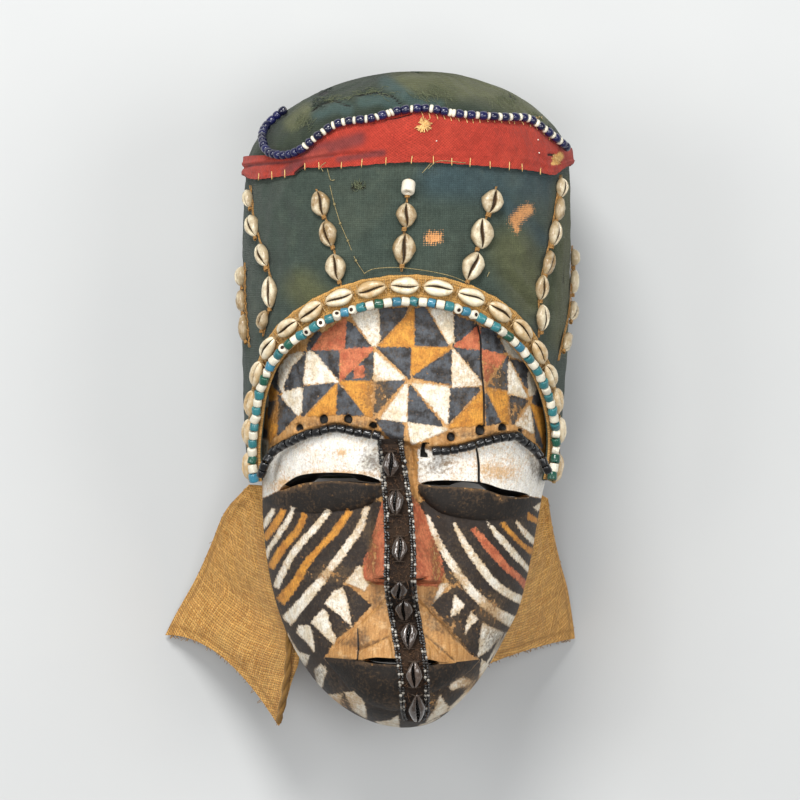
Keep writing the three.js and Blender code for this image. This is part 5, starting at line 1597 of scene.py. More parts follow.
def neck_cloth_shape(name):
    cloth = neck_cloths[name]
    rows, columns = 144, 104
    t, s = np.meshgrid(np.linspace(0, 1, rows), np.linspace(0, 1, columns), indexing="ij")
    point = cloth_at(cloth, s, t)
    aside, down = np.gradient(point, axis=1), np.gradient(point, axis=0)
    normal = unit(np.cross(aside, down)) * -cloth["side"]
    across = np.cumsum(np.linalg.norm(aside, axis=-1), axis=1)
    along = np.cumsum(np.linalg.norm(down, axis=-1), axis=0)
    wave = 0.9 * ripple(71, s * 2.2, t * 2.4) + 0.35 * ripple(72, s * 6, t * 7)
    edge = step(np.minimum(np.minimum(s, 1 - s) * 60, np.minimum(t, 1 - t) * 60), 0, 6)
    point = point + ((wave - 0.6) * edge)[..., None] * normal
    under = point - thin_cloth * normal
    point[..., 2] = np.maximum(point[..., 2], 1.2)
    under[..., 2] = np.maximum(under[..., 2], 0.05)
    shape = Shape()
    slab(shape, point, under, thread=np.stack([across, along, 0 * s], -1), hem=hem_shade(s, t))
    for line, radius in cloth.get("hems", []):
        path = smooth_line(line, 90)
        turn = np.linspace(0, 2 * math.pi * 2.5, 90)
        for phase in (0, math.pi):
            around = np.stack([np.cos(turn + phase), 0 * turn, np.sin(turn + phase)], -1) * radius * 0.6
            ends = np.clip(np.minimum(np.arange(90), 89 - np.arange(90)) / 5, 0.35, 1)[:, None]
            tube(shape, path + around * ends, radius, 9, 0)
    draw = np.random.default_rng(74)
    for share in draw.uniform(0.02, 0.98, frayed_threads):
        row = int(share * (columns - 1))
        root = point[-1, row] if draw.random() < 0.5 else point[int(share * (rows - 1)), -1]
        lean = np.array([draw.normal(0, 0.6), -1.0, draw.uniform(-0.2, 0.5)])
        if root[2] > 4:
            tube(shape, [root, root + 0.8 * lean, root + draw.uniform(1.2, 2.4) * lean
                         + [draw.normal(0, 0.5), 0, 0]], 0.2, 3, 0)
    return shape


# Materials

def fill(tree, inputs, values):
    """Links each input that is given a socket, and sets each other one."""
    for key, value in values.items():
        if isinstance(value, bpy.types.NodeSocket):
            tree.links.new(value, inputs[key])
        else:
            inputs[key].default_value = value


def add_node(tree, kind, inputs=None, out=0, **settings):
    """Adds a node with its settings, fills or links its inputs, and returns one of its outputs."""
    made = tree.nodes.new("ShaderNode" + kind)
    for key, value in settings.items():
        setattr(made, key, value)
    fill(tree, made.inputs, inputs or {})
    return made.outputs[out]


def new_material(name):
    material = bpy.data.materials.new(name)
    material.use_nodes = True
    tree = material.node_tree
    return material, tree, tree.nodes["Principled BSDF"]


def shade(code):
    return (*linear(code), 1.0)


def coordinates(tree):
    """The place on the piece, in millimetres."""
    spot = add_node(tree, "TexCoord", out="Object")
    return add_node(tree, "VectorMath", {0: spot, "Scale": 1000.0}, operation="SCALE")


def layered(tree, under, over, value, low, high, most=1.0, curve="SMOOTHSTEP"):
    """One colour laid over another: not at all where value is low, and by the share most where it is high."""
    share = add_node(tree, "MapRange", {0: value, 1: low, 2: high, 4: most}, interpolation_type=curve)
    return add_node(tree, "Mix", {0: share, 6: under, 7: over}, 2, data_type="RGBA")


def toned(tree, base, value, low, high, dark, light, share=1.0):
    """A colour times a tone that goes from dark to light as value goes from low to high."""
    tone = add_node(tree, "MapRange", {0: value, 1: low, 2: high, 3: dark, 4: light},
                    interpolation_type="SMOOTHSTEP")
    grey = add_node(tree, "CombineColor", {0: tone, 1: tone, 2: tone})
    return add_node(tree, "Mix", {0: share, 6: base, 7: grey}, 2, data_type="RGBA", blend_type="MULTIPLY")


def finished(made, base, relief, strength, depth, values):
    """The material with its colour, a relief so many millimetres deep, and its other values."""
    material, tree, shader = made
    bump = add_node(tree, "Bump", {"Strength": strength, "Distance": depth * mm, "Height": relief})
    fill(tree, shader.inputs, {"Base Color": base, "Normal": bump, **values})
    return material


def weave_tree():
    """A plain weave in thread coordinates of one thread's width: its height, and which thread lies on top."""
    tree = bpy.data.node_groups.new("Plain weave", "ShaderNodeTree")
    tree.interface.new_socket("Thread", in_out="INPUT", socket_type="NodeSocketVector")
    for name in ("Height", "Warp"):
        tree.interface.new_socket(name, in_out="OUTPUT", socket_type="NodeSocketFloat")
    source = tree.nodes.new("NodeGroupInput").outputs["Thread"]
    wobble = add_node(tree, "TexNoise", {"Vector": source, "Scale": 0.23, "Detail": 1.0}, "Color")
    shift = add_node(tree, "VectorMath", {0: wobble, 1: (0.5, 0.5, 0.5)}, operation="SUBTRACT")
    moved = add_node(tree, "VectorMath", {0: shift, 1: (1.1, 1.1, 0.0), 2: source},
                     operation="MULTIPLY_ADD")
    split = add_node(tree, "SeparateXYZ", {0: moved}).node.outputs
    heights, floors, waves = [], [], []
    for axis in (0, 1):
        part = add_node(tree, "Math", {0: split[axis]}, operation="FRACT")
        side = add_node(tree, "Math", {0: part, 1: 2.0, 2: -1.0}, operation="MULTIPLY_ADD")
        square = add_node(tree, "Math", {0: side, 1: side}, operation="MULTIPLY")
        heights.append(add_node(tree, "Math", {0: 1.0, 1: square}, operation="SUBTRACT"))
        floors.append(add_node(tree, "Math", {0: split[axis]}, operation="FLOOR"))
    total = add_node(tree, "Math", {0: floors[0], 1: floors[1]})
    half = add_node(tree, "Math", {0: total, 1: 0.5}, operation="MULTIPLY")
    parity = add_node(tree, "Math", {0: half}, operation="FRACT")
    sign = add_node(tree, "Math", {0: parity, 1: 4.0, 2: -1.0}, operation="MULTIPLY_ADD")
    for across, along, turn in ((heights[0], heights[1], 0.45), (heights[1], heights[0], -0.45)):
        lift = add_node(tree, "Math", {0: sign, 1: turn}, operation="MULTIPLY")
        bent = add_node(tree, "Math", {0: lift, 1: along}, operation="MULTIPLY")
        raised = add_node(tree, "Math", {0: bent, 1: 0.55}, operation="ADD")
        waves.append(add_node(tree, "Math", {0: raised, 1: across}, operation="MULTIPLY"))
    fill(tree, tree.nodes.new("NodeGroupOutput").inputs, {
        name: add_node(tree, "Math", {0: waves[0], 1: waves[1]}, operation=kind)
        for name, kind in (("Height", "MAXIMUM"), ("Warp", "GREATER_THAN"))})
    return tree


# From one thread to the next. Real cotton of this kind has 15 or more threads to the centimetre, too fine
# to show in the render, so the threads are drawn as coarse as they need to be to show.
cotton_pitch = 1.2
wool_pitch = 1.15
smoked_pitch = 0.9


def cloth_material(name, settings, pitch, wear, dust="#8d8672", layers=(), fibre=0.5, gap=0.4):
    """Hand-woven cloth: each thread is shaded and raised, tones drift from thread to thread and over the
    cloth, and the colour has worn off the high threads in places. layers are (attribute, colour,
    raggedness)."""
    material, tree, shader = new_material(name)
    thread = add_node(tree, "Attribute", {}, "Vector", attribute_name="thread")
    scaled = add_node(tree, "VectorMath", {0: thread, "Scale": 1 / pitch}, operation="SCALE")
    group = tree.nodes.new("ShaderNodeGroup")
    group.node_tree = bpy.data.node_groups.get("Plain weave") or weave_tree()
    fill(tree, group.inputs, {"Thread": scaled})
    height, warp = group.outputs["Height"], group.outputs["Warp"]
    spot = coordinates(tree)
    streaks = [add_node(tree, "VectorMath", {0: scaled, 1: lean}, operation="MULTIPLY")
               for lean in ((1.0, 0.07, 0.0), (0.07, 1.0, 0.0))]
    warp_tone, weft_tone, drift, patch, speck, lint = [
        add_node(tree, "TexNoise", {"Vector": at, "Scale": 1 / size, "Detail": detail, "Roughness": rough},
                 "Fac")
        for at, size, detail, rough in (
            (streaks[0], 1.0, 3.0, 0.5), (streaks[1], 1.0, 3.0, 0.5), (spot, 34, 5.0, 0.6),
            (spot, 9, 8.0, 0.66), (spot, 1.8, 6.0, 0.7), (spot, 0.45, 4.0, 0.7))]
    tone = add_node(tree, "Mix", {0: warp, 2: weft_tone, 3: warp_tone}, 0)
    base = layered(tree, (*settings[0], 1.0), (*settings[1], 1.0), tone, 0.3, 0.7)
    for label, code, ragged in layers:
        amount = add_node(tree, "Attribute", {}, "Fac", attribute_name=label)
        if ragged:
            rough = add_node(tree, "Math", {0: speck, 1: 2 * ragged, 2: amount}, operation="MULTIPLY_ADD")
            rough = add_node(tree, "Math", {0: height, 1: ragged, 2: rough}, operation="MULTIPLY_ADD")
            edge = add_node(tree, "Math", {0: amount, 1: 0.02}, operation="GREATER_THAN")
            amount = add_node(tree, "MapRange", {0: rough, 1: 0.4 + 1.4 * ragged, 2: 0.95 + 1.4 * ragged},
                              interpolation_type="SMOOTHSTEP")
            amount = add_node(tree, "Math", {0: amount, 1: edge}, operation="MULTIPLY")
        base = add_node(tree, "Mix", {0: amount, 6: base, 7: shade(code)}, 2, data_type="RGBA")
    base = layered(tree, base, shade(dust), drift, 0.42, 0.8, wear)
    rubbed = add_node(tree, "MapRange", {0: patch, 1: 0.56, 2: 0.76, 4: wear},
                      interpolation_type="SMOOTHSTEP")
    rubbed = add_node(tree, "Math", {0: rubbed, 1: height}, operation="MULTIPLY")
    base = add_node(tree, "Mix", {0: rubbed, 6: base, 7: shade(dust)}, 2, data_type="RGBA")
    base = toned(tree, base, height, 0.0, 0.6, gap, 1.0, 0.9)
    base = toned(tree, base, speck, 0.3, 0.75, 0.84, 1.12)
    base = toned(tree, base, patch, 0.3, 0.7, 0.84, 1.1)
    relief = add_node(tree, "Math", {0: lint, 1: fibre, 2: height}, operation="MULTIPLY_ADD")
    return finished((material, tree, shader), base, relief, 0.9, 0.28 * pitch,
                    {"Roughness": 0.95, "Specular IOR Level": 0.2, "Sheen Weight": 0.1,
                     "Sheen Roughness": 0.5})


def painted_wood(colours):
    """Carved wood painted by hand in earth pigments: matt and chalky, brushed on thin so that the grain
    shows, rubbed through to the tan wood along the edges of each patch and where hands have worn it."""
    material, tree, shader = new_material("Carved wood, painted with earth pigments")
    spot = coordinates(tree)
    grain_at, brush_at = [add_node(tree, "VectorMath", {0: spot, 1: (1.0, length, 1.0)},
                                   operation="MULTIPLY") for length in (0.06, 0.22)]
    grain, brushed, broad, mottle, ragged, chips, crust = [
        add_node(tree, "TexNoise", {"Vector": at, "Scale": 1 / size, "Detail": detail, "Roughness": rough},
                 "Fac")
        for at, size, detail, rough in (
            (grain_at, 1.6, 5.0, 0.62), (brush_at, 0.8, 4.0, 0.6), (spot, 22, 4.0, 0.5),
            (spot, 6.5, 8.0, 0.64), (spot, 2.0, 7.0, 0.68), (spot, 3.4, 10.0, 0.74), (spot, 0.9, 8.0, 0.72))]
    wobble = add_node(tree, "Math", {0: ragged, 1: 5.2, 2: -2.6}, operation="MULTIPLY_ADD")
    worn, sooty, holes = [add_node(tree, "Attribute", {}, "Fac", attribute_name=label)
                          for label in ("worn", "sooty", "holes")]
    height = add_node(tree, "SeparateXYZ", {0: spot}, 1)
    base = layered(tree, shade("#a9773f"), shade("#cf9c5f"), grain, 0.3, 0.7)
    base = layered(tree, base, shade("#7d5128"), broad, 0.5, 0.8, 0.75)
    base = layered(tree, base, shade("#e2bd8b"), mottle, 0.5, 0.7, 0.65)
    stained = add_node(tree, "Math", {0: broad, 1: 0.5, 2: ragged}, operation="MULTIPLY_ADD")
    stained = add_node(tree, "Math", {0: worn, 1: 0.3, 2: stained}, operation="MULTIPLY_ADD")
    cover = None
    for name, thin in (("black", 0.62), ("brown", 0.66), ("ochre", 0.62), ("red", 0.6), ("lid", 0.7),
                       ("white", 0.64)):
        amount = add_node(tree, "Attribute", {}, "Fac", attribute_name="paint_" + name)
        reach = add_node(tree, "Math", {0: amount, 1: wobble}, operation="ADD")
        inside = add_node(tree, "MapRange", {0: reach, 1: -0.3, 2: 0.3}, interpolation_type="SMOOTHSTEP")
        border = add_node(tree, "MapRange", {0: amount, 1: 2.0, 2: 0.0}, interpolation_type="SMOOTHSTEP")
        rubbed = add_node(tree, "Math", {0: worn, 1: 0.14, 2: chips}, operation="MULTIPLY_ADD")
        rubbed = add_node(tree, "Math", {0: border, 1: 0.08, 2: rubbed}, operation="MULTIPLY_ADD")
        left = add_node(tree, "MapRange", {0: rubbed, 1: thin, 2: thin + 0.07, 3: 1.0, 4: 0.15},
                        interpolation_type="SMOOTHSTEP")
        share = add_node(tree, "Math", {0: inside, 1: left}, operation="MULTIPLY")
        light, deep, stain = [(*tone, 1.0) for tone in colours[name]]
        pigment = layered(tree, light, deep, mottle, 0.4, 0.64)
        if name == "black":
            pigment = layered(tree, pigment, shade("#2b1f15"), height, -46.0, -56.0, 0.9)
        if name in ("white", "ochre"):
            pigment = layered(tree, pigment, stain, reach, 1.1, 0.0, 0.5)
        pigment = layered(tree, pigment, stain, stained, 0.72, 1.04, 0.85)
        pigment = toned(tree, pigment, brushed, 0.28, 0.72, 0.84, 1.1)
        base = add_node(tree, "Mix", {0: share, 6: base, 7: pigment}, 2, data_type="RGBA")
        cover = (share if cover is None else add_node(tree, "Math", {0: cover, 1: share},
                                                      operation="MAXIMUM"))
    base = toned(tree, base, crust, 0.3, 0.7, 0.74, 1.16)
    # Grime, soot and painted shade in the grooves, under the nose and along the brow darken the colour
    dirt_and_shade = add_node(tree, "Math", {0: crust, 1: 0.45, 2: ragged}, operation="MULTIPLY_ADD")
    dirt_and_shade = add_node(tree, "Math", {0: sooty, 1: 0.34, 2: dirt_and_shade}, operation="MULTIPLY_ADD")
    base = layered(tree, base, shade("#3b2c1f"), dirt_and_shade, 0.8, 1.16, 0.7)
    # Painted shade: near black in the holes, nostrils, cracks and the slits' walls and edges
    base = layered(tree, base, shade("#0d0906"), holes, -0.3, 0.1)
    relief = grain
    for value, weight in ((chips, 0.6), (cover, 0.6), (brushed, 0.35), (crust, 0.9)):
        relief = add_node(tree, "Math", {0: value, 1: weight, 2: relief}, operation="MULTIPLY_ADD")
    matt = add_node(tree, "MapRange", {0: cover, 3: 0.5, 4: 0.68}, interpolation_type="SMOOTHSTEP")
    return finished((material, tree, shader), base, relief, 0.8, 0.4,
                    {"Roughness": matt, "Specular IOR Level": 0.4})


def glass_material(name, light, deep, roughness=0.18, dusty=0.35):
    """Drawn or wound glass: coloured through, a little uneven from bead to bead, worn matt in places."""
    material, tree, shader = new_material(name)
    tint = add_node(tree, "Attribute", {}, "Fac", attribute_name="tint")
    spot = coordinates(tree)
    streak = add_node(tree, "TexNoise", {"Vector": spot, "Scale": 1 / 1.3, "Detail": 4.0}, "Fac")
    share = add_node(tree, "Math", {0: streak, 1: 0.5, 2: tint}, operation="MULTIPLY_ADD")
    base = layered(tree, (*light, 1.0), (*deep, 1.0), share, 0.2, 1.3, curve="LINEAR")
    grime = add_node(tree, "TexNoise", {"Vector": spot, "Scale": 1 / 2.4, "Detail": 6.0, "Roughness": 0.7},
                     "Fac")
    base = layered(tree, base, shade("#6b5d49"), grime, 0.56, 0.72, dusty, "LINEAR")
    matt = add_node(tree, "MapRange", {0: grime, 1: 0.4, 2: 0.7, 3: roughness, 4: roughness + 0.3})
    return finished((material, tree, shader), base, grime, 0.25, 0.1,
                    {"Roughness": matt, "Coat Weight": 0.4, "Coat Roughness": 0.12})


def shell_material(name, light, deep, mouth, roughness=0.3, coat=0.25, grime="#7a6750"):
    """Cowrie shell, a natural ceramic: smooth enamel, soft blotches, grime, painted shade in the toothed
    mouth.
    """
    material, tree, shader = new_material(name)
    spot = coordinates(tree)
    tint, edge, mouth_shade = [add_node(tree, "Attribute", {}, "Fac", attribute_name=label)
                          for label in ("tint", "rim", "mouth")]
    blotch, fine = [add_node(tree, "TexNoise", {"Vector": spot, "Scale": 1 / size, "Detail": 6.0,
                                                "Roughness": rough}, "Fac") for size,
                    rough in ((4.5, 0.62), (0.9, 0.7))]
    share = add_node(tree, "Math", {0: tint, 1: 0.3, 2: blotch}, operation="MULTIPLY_ADD")
    base = layered(tree, (*light, 1.0), (*deep, 1.0), share, 0.42, 0.84, curve="LINEAR")
    base = layered(tree, base, shade(grime), fine, 0.56, 0.75, 0.3, "LINEAR")
    # Darker rim: partly the shell's tan edge, partly painted shade
    edge = add_node(tree, "Math", {0: edge, 1: 0.55}, operation="MULTIPLY")
    base = add_node(tree, "Mix", {0: edge, 6: base, 7: (*deep, 1.0)}, 2, data_type="RGBA")
    # Painted shade in the toothed mouth
    base = layered(tree, base, (*mouth, 1.0), mouth_shade, 0.15, 0.8, curve="LINEAR")
    matt = add_node(tree, "MapRange", {0: fine, 1: 0.4, 2: 0.75, 3: roughness, 4: roughness + 0.22})
    return finished((material, tree, shader), base, fine, 0.2, 0.12,
                    {"Roughness": matt, "Coat Weight": coat, "Coat Roughness": 0.16})


def thread_material(name, light, deep):
    """Twisted raffia thread: dull fibre with a slanting twist."""
    material, tree, shader = new_material(name)
    twist = add_node(tree, "TexNoise", {"Vector": coordinates(tree), "Scale": 1 / 0.7, "Detail": 3.0,
                                        "Distortion": 0.6}, "Fac")
    base = layered(tree, (*light, 1.0), (*deep, 1.0), twist, 0.35, 0.65, curve="LINEAR")
    return finished((material, tree, shader), base, twist, 0.6, 0.2, {"Roughness": 0.9})


def backdrop():
    """Painted studio board: an even, dull pale grey."""
    material, tree, shader = new_material("Painted studio board")
    mottle = add_node(tree, "TexNoise", {"Vector": coordinates(tree), "Scale": 1 / 60, "Detail": 3.0},
                      "Fac")
    base = add_node(tree, "Mix", {0: mottle, 6: shade("#c6c8c9"), 7: shade("#c9cbcb")}, 2, data_type="RGBA")
    fill(tree, shader.inputs, {"Base Color": base, "Roughness": 0.9})
    return material


# What a user would change

def colour(name, text, code):
    """A colour property with an sRGB hex default."""
    return FloatVectorProperty(name=name, description=text, default=linear(code), min=0, max=1, size=3,
                               subtype="COLOR")


class WoodSettings(bpy.types.PropertyGroup):
    black: colour("Forehead black", "Slate black earth pigment where it lies thick", "#565a60")
    black_deep: colour("Deep black", "The same pigment where it is thin or stained brown", "#2b2725")
    white: colour("White", "Kaolin white", "#f6f0e2")
    white_deep: colour("Thin white", "Kaolin white rubbed thin", "#dfcfb2")
    ochre: colour("Ochre", "Yellow ochre", "#dd9b3e")
    ochre_deep: colour("Stained ochre", "Yellow ochre worn thin", "#bd7b2e")
    red: colour("Red", "Camwood red", "#d27c54")
    red_deep: colour("Stained red", "Camwood red worn thin", "#b0593a")
    brown: colour("Brown", "Smoked brown of the lower lids and the lip", "#1f1812")


class ClothSettings(bpy.types.PropertyGroup):
    hood: colour("Hood cloth", "Dark green cloth over the head", "#434f47")
    crown: colour("Crown cloth", "Olive cloth over the crown", "#333f33")
    red: colour("Red cloth", "Red band over the forehead", "#b83f31")
    raffia: colour("Raffia", "Raffia cloth of the arch and the neck", "#dca961")
    dark: colour("Dark cloth", "Cloth of the nose strip", "#30251e")
    thread_pitch: FloatProperty(name="Thread pitch",
                                description="From one thread of the raffia to the next", default=1.5 * mm,
                                min=0.5 * mm, max=4 * mm, unit="LENGTH")


class BeadSettings(bpy.types.PropertyGroup):
    turquoise: colour("Turquoise glass", "The arch's coloured beads", "#357f85")
    green: colour("Green glass", "The arch's darker beads", "#1f5a48")
    white: colour("White glass", "White beads and discs", "#ece5d0")
    blue: colour("Navy glass", "Beads along the crown", "#14174c")
    black: colour("Black glass", "Beads below the brows", "#131315")


class ShellSettings(bpy.types.PropertyGroup):
    pale: colour("Pale shell", "Cowries of the hood", "#f0e6cb")
    stained: colour("Stained shell", "Browner parts of the same cowries", "#c0a172")
    dark: colour("Dark shell", "Cowries of the nose strip", "#5f5148")
    length: FloatProperty(name="Arch cowrie length", description="Length of a cowrie on the arch",
                          default=18.2 * mm, min=12 * mm, max=20 * mm, unit="LENGTH")


class StageSettings(bpy.types.PropertyGroup):
    floor_width: FloatProperty(name="Floor width", description="Width of the pale floor", default=6.0,
                               min=2.0, max=20.0, unit="LENGTH")
    camera_height: FloatProperty(name="Camera height", description="Height of the camera over the floor",
                                 default=6.0, min=2.0, max=12.0, unit="LENGTH")


def twins(light, share=0.62):
    """A colour and its darker twin."""
    return tuple(light), tuple(v * share for v in light)


class MASK_OT_wooden_face(bpy.types.Operator):
    """Build the carved and painted face"""
    bl_idname = "mask.wooden_face"
    bl_label = "Wooden face"

    def execute(self, context):
        paint = context.scene.mask_wood
        colours = {"black": (paint.black, paint.black_deep, linear("#5b4a36")),
                   "brown": (*twins(paint.brown), linear("#5f4932")),
                   "ochre": (paint.ochre, paint.ochre_deep, linear("#8f6232")),
                   "red": (paint.red, paint.red_deep, linear("#8a5434")),
                   "lid": (linear("#fdfaf3"), paint.white, linear("#dcae74")),
                   "white": (paint.white, paint.white_deep, linear("#c39d6c"))}
        shape = wooden_face_shape()
        shape.piece("carved_face", "painted_wood", [painted_wood(colours)], ["wooden_face"], crease=50)
        return {"FINISHED"}


class MASK_OT_hood(bpy.types.Operator):
    """Build the green cloth over the head and the crown"""
    bl_idname = "mask.hood"
    bl_label = "Hood and crown"

    def execute(self, context):
        cloth = context.scene.mask_cloth
        # The tears are painted near black as shade
        spots = [("cool", "#3b4c4f", 0), ("warm", "#565a40", 0), ("bare", "#d99a62", 1.0),
                 ("torn", "#17120c", 0.9)]
        green = cloth_material("Plain-woven cotton, dyed dark green", twins(cloth.hood, 0.8), cotton_pitch,
                               0.22, "#666a57", spots, gap=0.55)
        # The tears are painted near black as shade
        under = [("warm", "#5c6042", 0), ("cool", "#3f5450", 0), ("torn", "#10130f", 0.5)]
        olive = cloth_material("Plain-woven cotton, dyed olive", twins(cloth.crown, 0.8), cotton_pitch,
                               0.25, "#6b6d50", under, gap=0.6)
        hood = hood_cloth_shape().piece("green_hood", "green_hood_cloth", [green], ["hood_cloth"],
                                        crease=60)
        crown = crown_cloth_shape().piece("green_crown", "green_crown_cloth", [olive], ["crown_cloth"],
                                          crease=60)
        turn = (-math.pi, math.pi)
        whole = plain_grid(lambda y, angle: hood_point(angle, y), (hood_low, hood_top), turn)
        rise = lambda share: hood_top + (crown_pole - hood_top) * np.sin(math.pi / 2 * share)
        cap = plain_grid(lambda share, angle: hood_point(angle, rise(share)), (0, 1), turn)
        return {"FINISHED"}


class MASK_OT_red_band(bpy.types.Operator):
    """Build the red cloth band"""
    bl_idname = "mask.red_band"
    bl_label = "Red band"

    def execute(self, context):
        cloth = context.scene.mask_cloth
        # The tears are painted dark as shade
        marks = [("cool", "#7f3a39", 0), ("warm", "#a3463c", 0), ("bare", "#eab86a", 0.8),
                 ("torn", "#2a0f0a", 0.3)]
        red = cloth_material("Twill-woven wool, dyed red", twins(cloth.red, 0.78), wool_pitch, 0.16,
                             "#b9573f", marks, gap=0.4)
        band = red_band_shape().piece("red_cloth_band", "red_cloth", [red], ["red_band"], crease=60)
        side = lambda angle: hood_point(angle, band_middle_y)[..., 0]
        laid = plain_grid(
            lambda share, angle: on_hood(angle, mix(curve_at(band_lower, side(angle)),
                                                    curve_at(band_upper, side(angle)), share),
                                         band_lift + 0 * angle), (0, 1), (-band_end, band_end))
        return {"FINISHED"}


class MASK_OT_rim_beads(bpy.types.Operator):
    """Build the navy and white beads along the crown"""
    bl_idname = "mask.rim_beads"
    bl_label = "Crown beads"

    def execute(self, context):
        beads = context.scene.mask_beads
        materials = [glass_material("Moulded glass, navy", *twins(beads.blue, 0.3), 0.14, 0.12),
                     glass_material("Moulded glass, white discs", *twins(beads.white, 0.8)),
                     thread_material("Raffia thread", linear("#a58d63"), linear("#7b6542"))]
        rim_beads_shape().piece("crown_beads", "blue_glass_beads", materials, ["rim_bead_string"],
                                crease=40)
        return {"FINISHED"}


class MASK_OT_arch(bpy.types.Operator):
    """Build the bound edge of the hood with its beads and cowries"""
    bl_idname = "mask.arch"
    bl_label = "Arch"

    def execute(self, context):
        cloth, beads, shells = context.scene.mask_cloth, context.scene.mask_beads, context.scene.mask_shells
        raffia = cloth_material("Plain-woven raffia, undyed", twins(cloth.raffia, 0.7),
                                cloth.thread_pitch / mm, 0.35, "#8a6f48", gap=0.25)
        thread = thread_material("Raffia thread, twisted", linear("#c2a373"), linear("#8a6b41"))
        glass = [glass_material("Wound glass, turquoise", *twins(beads.turquoise)),
                 glass_material("Wound glass, white", *twins(beads.white, 0.8)),
                 glass_material("Wound glass, green", *twins(beads.green)),
                 thread,
                 glass_material("Wound glass, sky blue", *twins(linear("#3f86a0"))),
                 thread_material("Thread in bead holes, dark as painted shade", linear("#3d2417"), linear("#1c0f08"))]
        edge = binding_shape().piece("bound_edge", "raffia_cloth", [raffia], ["arch_binding"], crease=60)
        bound = plain_grid(lambda out, t: arch_point(t, out, clearance + 0 * t),
                           (binding_inner, binding_outer), (0, 1))
        arch_beads_shape().piece("arch_beads", "turquoise_glass_beads", glass, ["arch_bead_string"],
                                 crease=40)
        shell = shell_material("Cowrie shell, natural ceramic", tuple(shells.pale), tuple(shells.stained),
                               linear("#4a3a28"))
        arch_shell_length = shells.length / mm
        for index in range(arch_shells):
            arch_cowrie_shape(index, arch_shell_length).piece(f"arch_shell_{index + 1}", "cowrie_shell",
                    [shell, thread], [f"arch_cowrie_{index + 1}"])
        return {"FINISHED"}


class MASK_OT_shell_strings(bpy.types.Operator):
    """Build the strings of cowries on the hood"""
    bl_idname = "mask.shell_strings"
    bl_label = "Cowrie strings"

    def execute(self, context):
        shell = shell_material("Cowrie shell, strung", linear("#e6dcbf"), linear("#957b55"),
                               linear("#4a3825"))
        thread = thread_material("Raffia thread, knotted", linear("#b98d52"), linear("#7a5426"))
        bead = glass_material("Pressed glass, milk white", linear("#efe7d6"), linear("#cdbf9f"), 0.3)
        for name in strings:
            string_shape(name).piece("shells_" + name, "cowrie_shell", [shell, thread, bead], [name])
        return {"FINISHED"}


class MASK_OT_threads(bpy.types.Operator):
    """Build the stitches and the loose threads"""
    bl_idname = "mask.threads"
    bl_label = "Threads"

    def execute(self, context):
        materials = [thread_material("Raffia thread, loose", linear("#f0cd8c"), linear("#c39452")),
                     thread_material("Frayed cotton, olive", linear("#767c5c"), linear("#414a38")),
                     thread_material("Frayed cotton, dark green", linear("#26352f"), linear("#141d19")),
                     glass_material("Seed glass, white", linear("#efe8da"), linear("#c8bda6")),
                     thread_material("Cotton thread, grey tan", linear("#b3a272"), linear("#6f6443"))]
        threads_shape().piece("loose_threads", "raffia_cloth", materials)
        return {"FINISHED"}


class MASK_OT_brow_beads(bpy.types.Operator):
    """Build the black beads below the brows"""
    bl_idname = "mask.brow_beads"
    bl_label = "Brow beads"

    def execute(self, context):
        glass = glass_material("Moulded glass, black", *twins(context.scene.mask_beads.black), 0.16, 0.08)
        thread = thread_material("Raffia thread of the brows", linear("#8d7a58"), linear("#5e4c33"))
        for index, (side, (start, end, count)) in enumerate(brow_strings.items(), 1):
            brow_beads_shape(start, end, count).piece(f"brow_beads_{index}", "black_glass_beads",
                                                      [glass, thread], ["brow_beads_" + side], crease=40)
        return {"FINISHED"}


class MASK_OT_nose_strip(bpy.types.Operator):
    """Build the beaded strip over the nose and its dark cowries"""
    bl_idname = "mask.nose_strip"
    bl_label = "Nose strip"

    def execute(self, context):
        cloth, shells = context.scene.mask_cloth, context.scene.mask_shells
        dark = cloth_material("Plain-woven cotton, smoked dark", twins(cloth.dark), smoked_pitch, 0.3,
                              "#6b5038")
        black = glass_material("Seed glass, dark", linear("#2b2826"), linear("#171514"), roughness=0.2)
        # Grey seed glass, partly painted glints on the dark bead rows
        grey_glass_and_glints = glass_material("Seed glass, grey, partly painted glints", linear("#b9b4aa"), linear("#7d776d"), roughness=0.2)
        lint = thread_material("Frayed cotton fibre, brown", linear("#6a4c33"), linear("#2c1d13"))
        strip = nose_strip_shape().piece("beaded_strip", "dark_cloth", [dark], ["nose_strip"], crease=50)
        trim = strip_trim_shape().piece("strip_beads", "dark_cloth", [black, grey_glass_and_glints, lint], crease=50)
        laid = plain_grid(
            lambda share, y: np.stack([curve_at(strip_line, y) + share * curve_at(strip_half, y), y,
                                       strip_under(y)], -1), (-1, 1), (strip_low_y, strip_top_y))
        shell = shell_material("Cowrie shell, smoked dark", tuple(shells.dark), linear("#33271f"),
                               linear("#0b0806"), 0.16, 1.0, "#a08c76")
        thread = thread_material("Dark thread", linear("#4a3a2b"), linear("#2a2019"))
        for index in range(len(nose_shells)):
            nose_cowrie_shape(index).piece(f"nose_shell_{index + 1}", "dark_cowrie_shell", [shell, thread],
                                           [f"nose_cowrie_{index + 1}"])
        return {"FINISHED"}


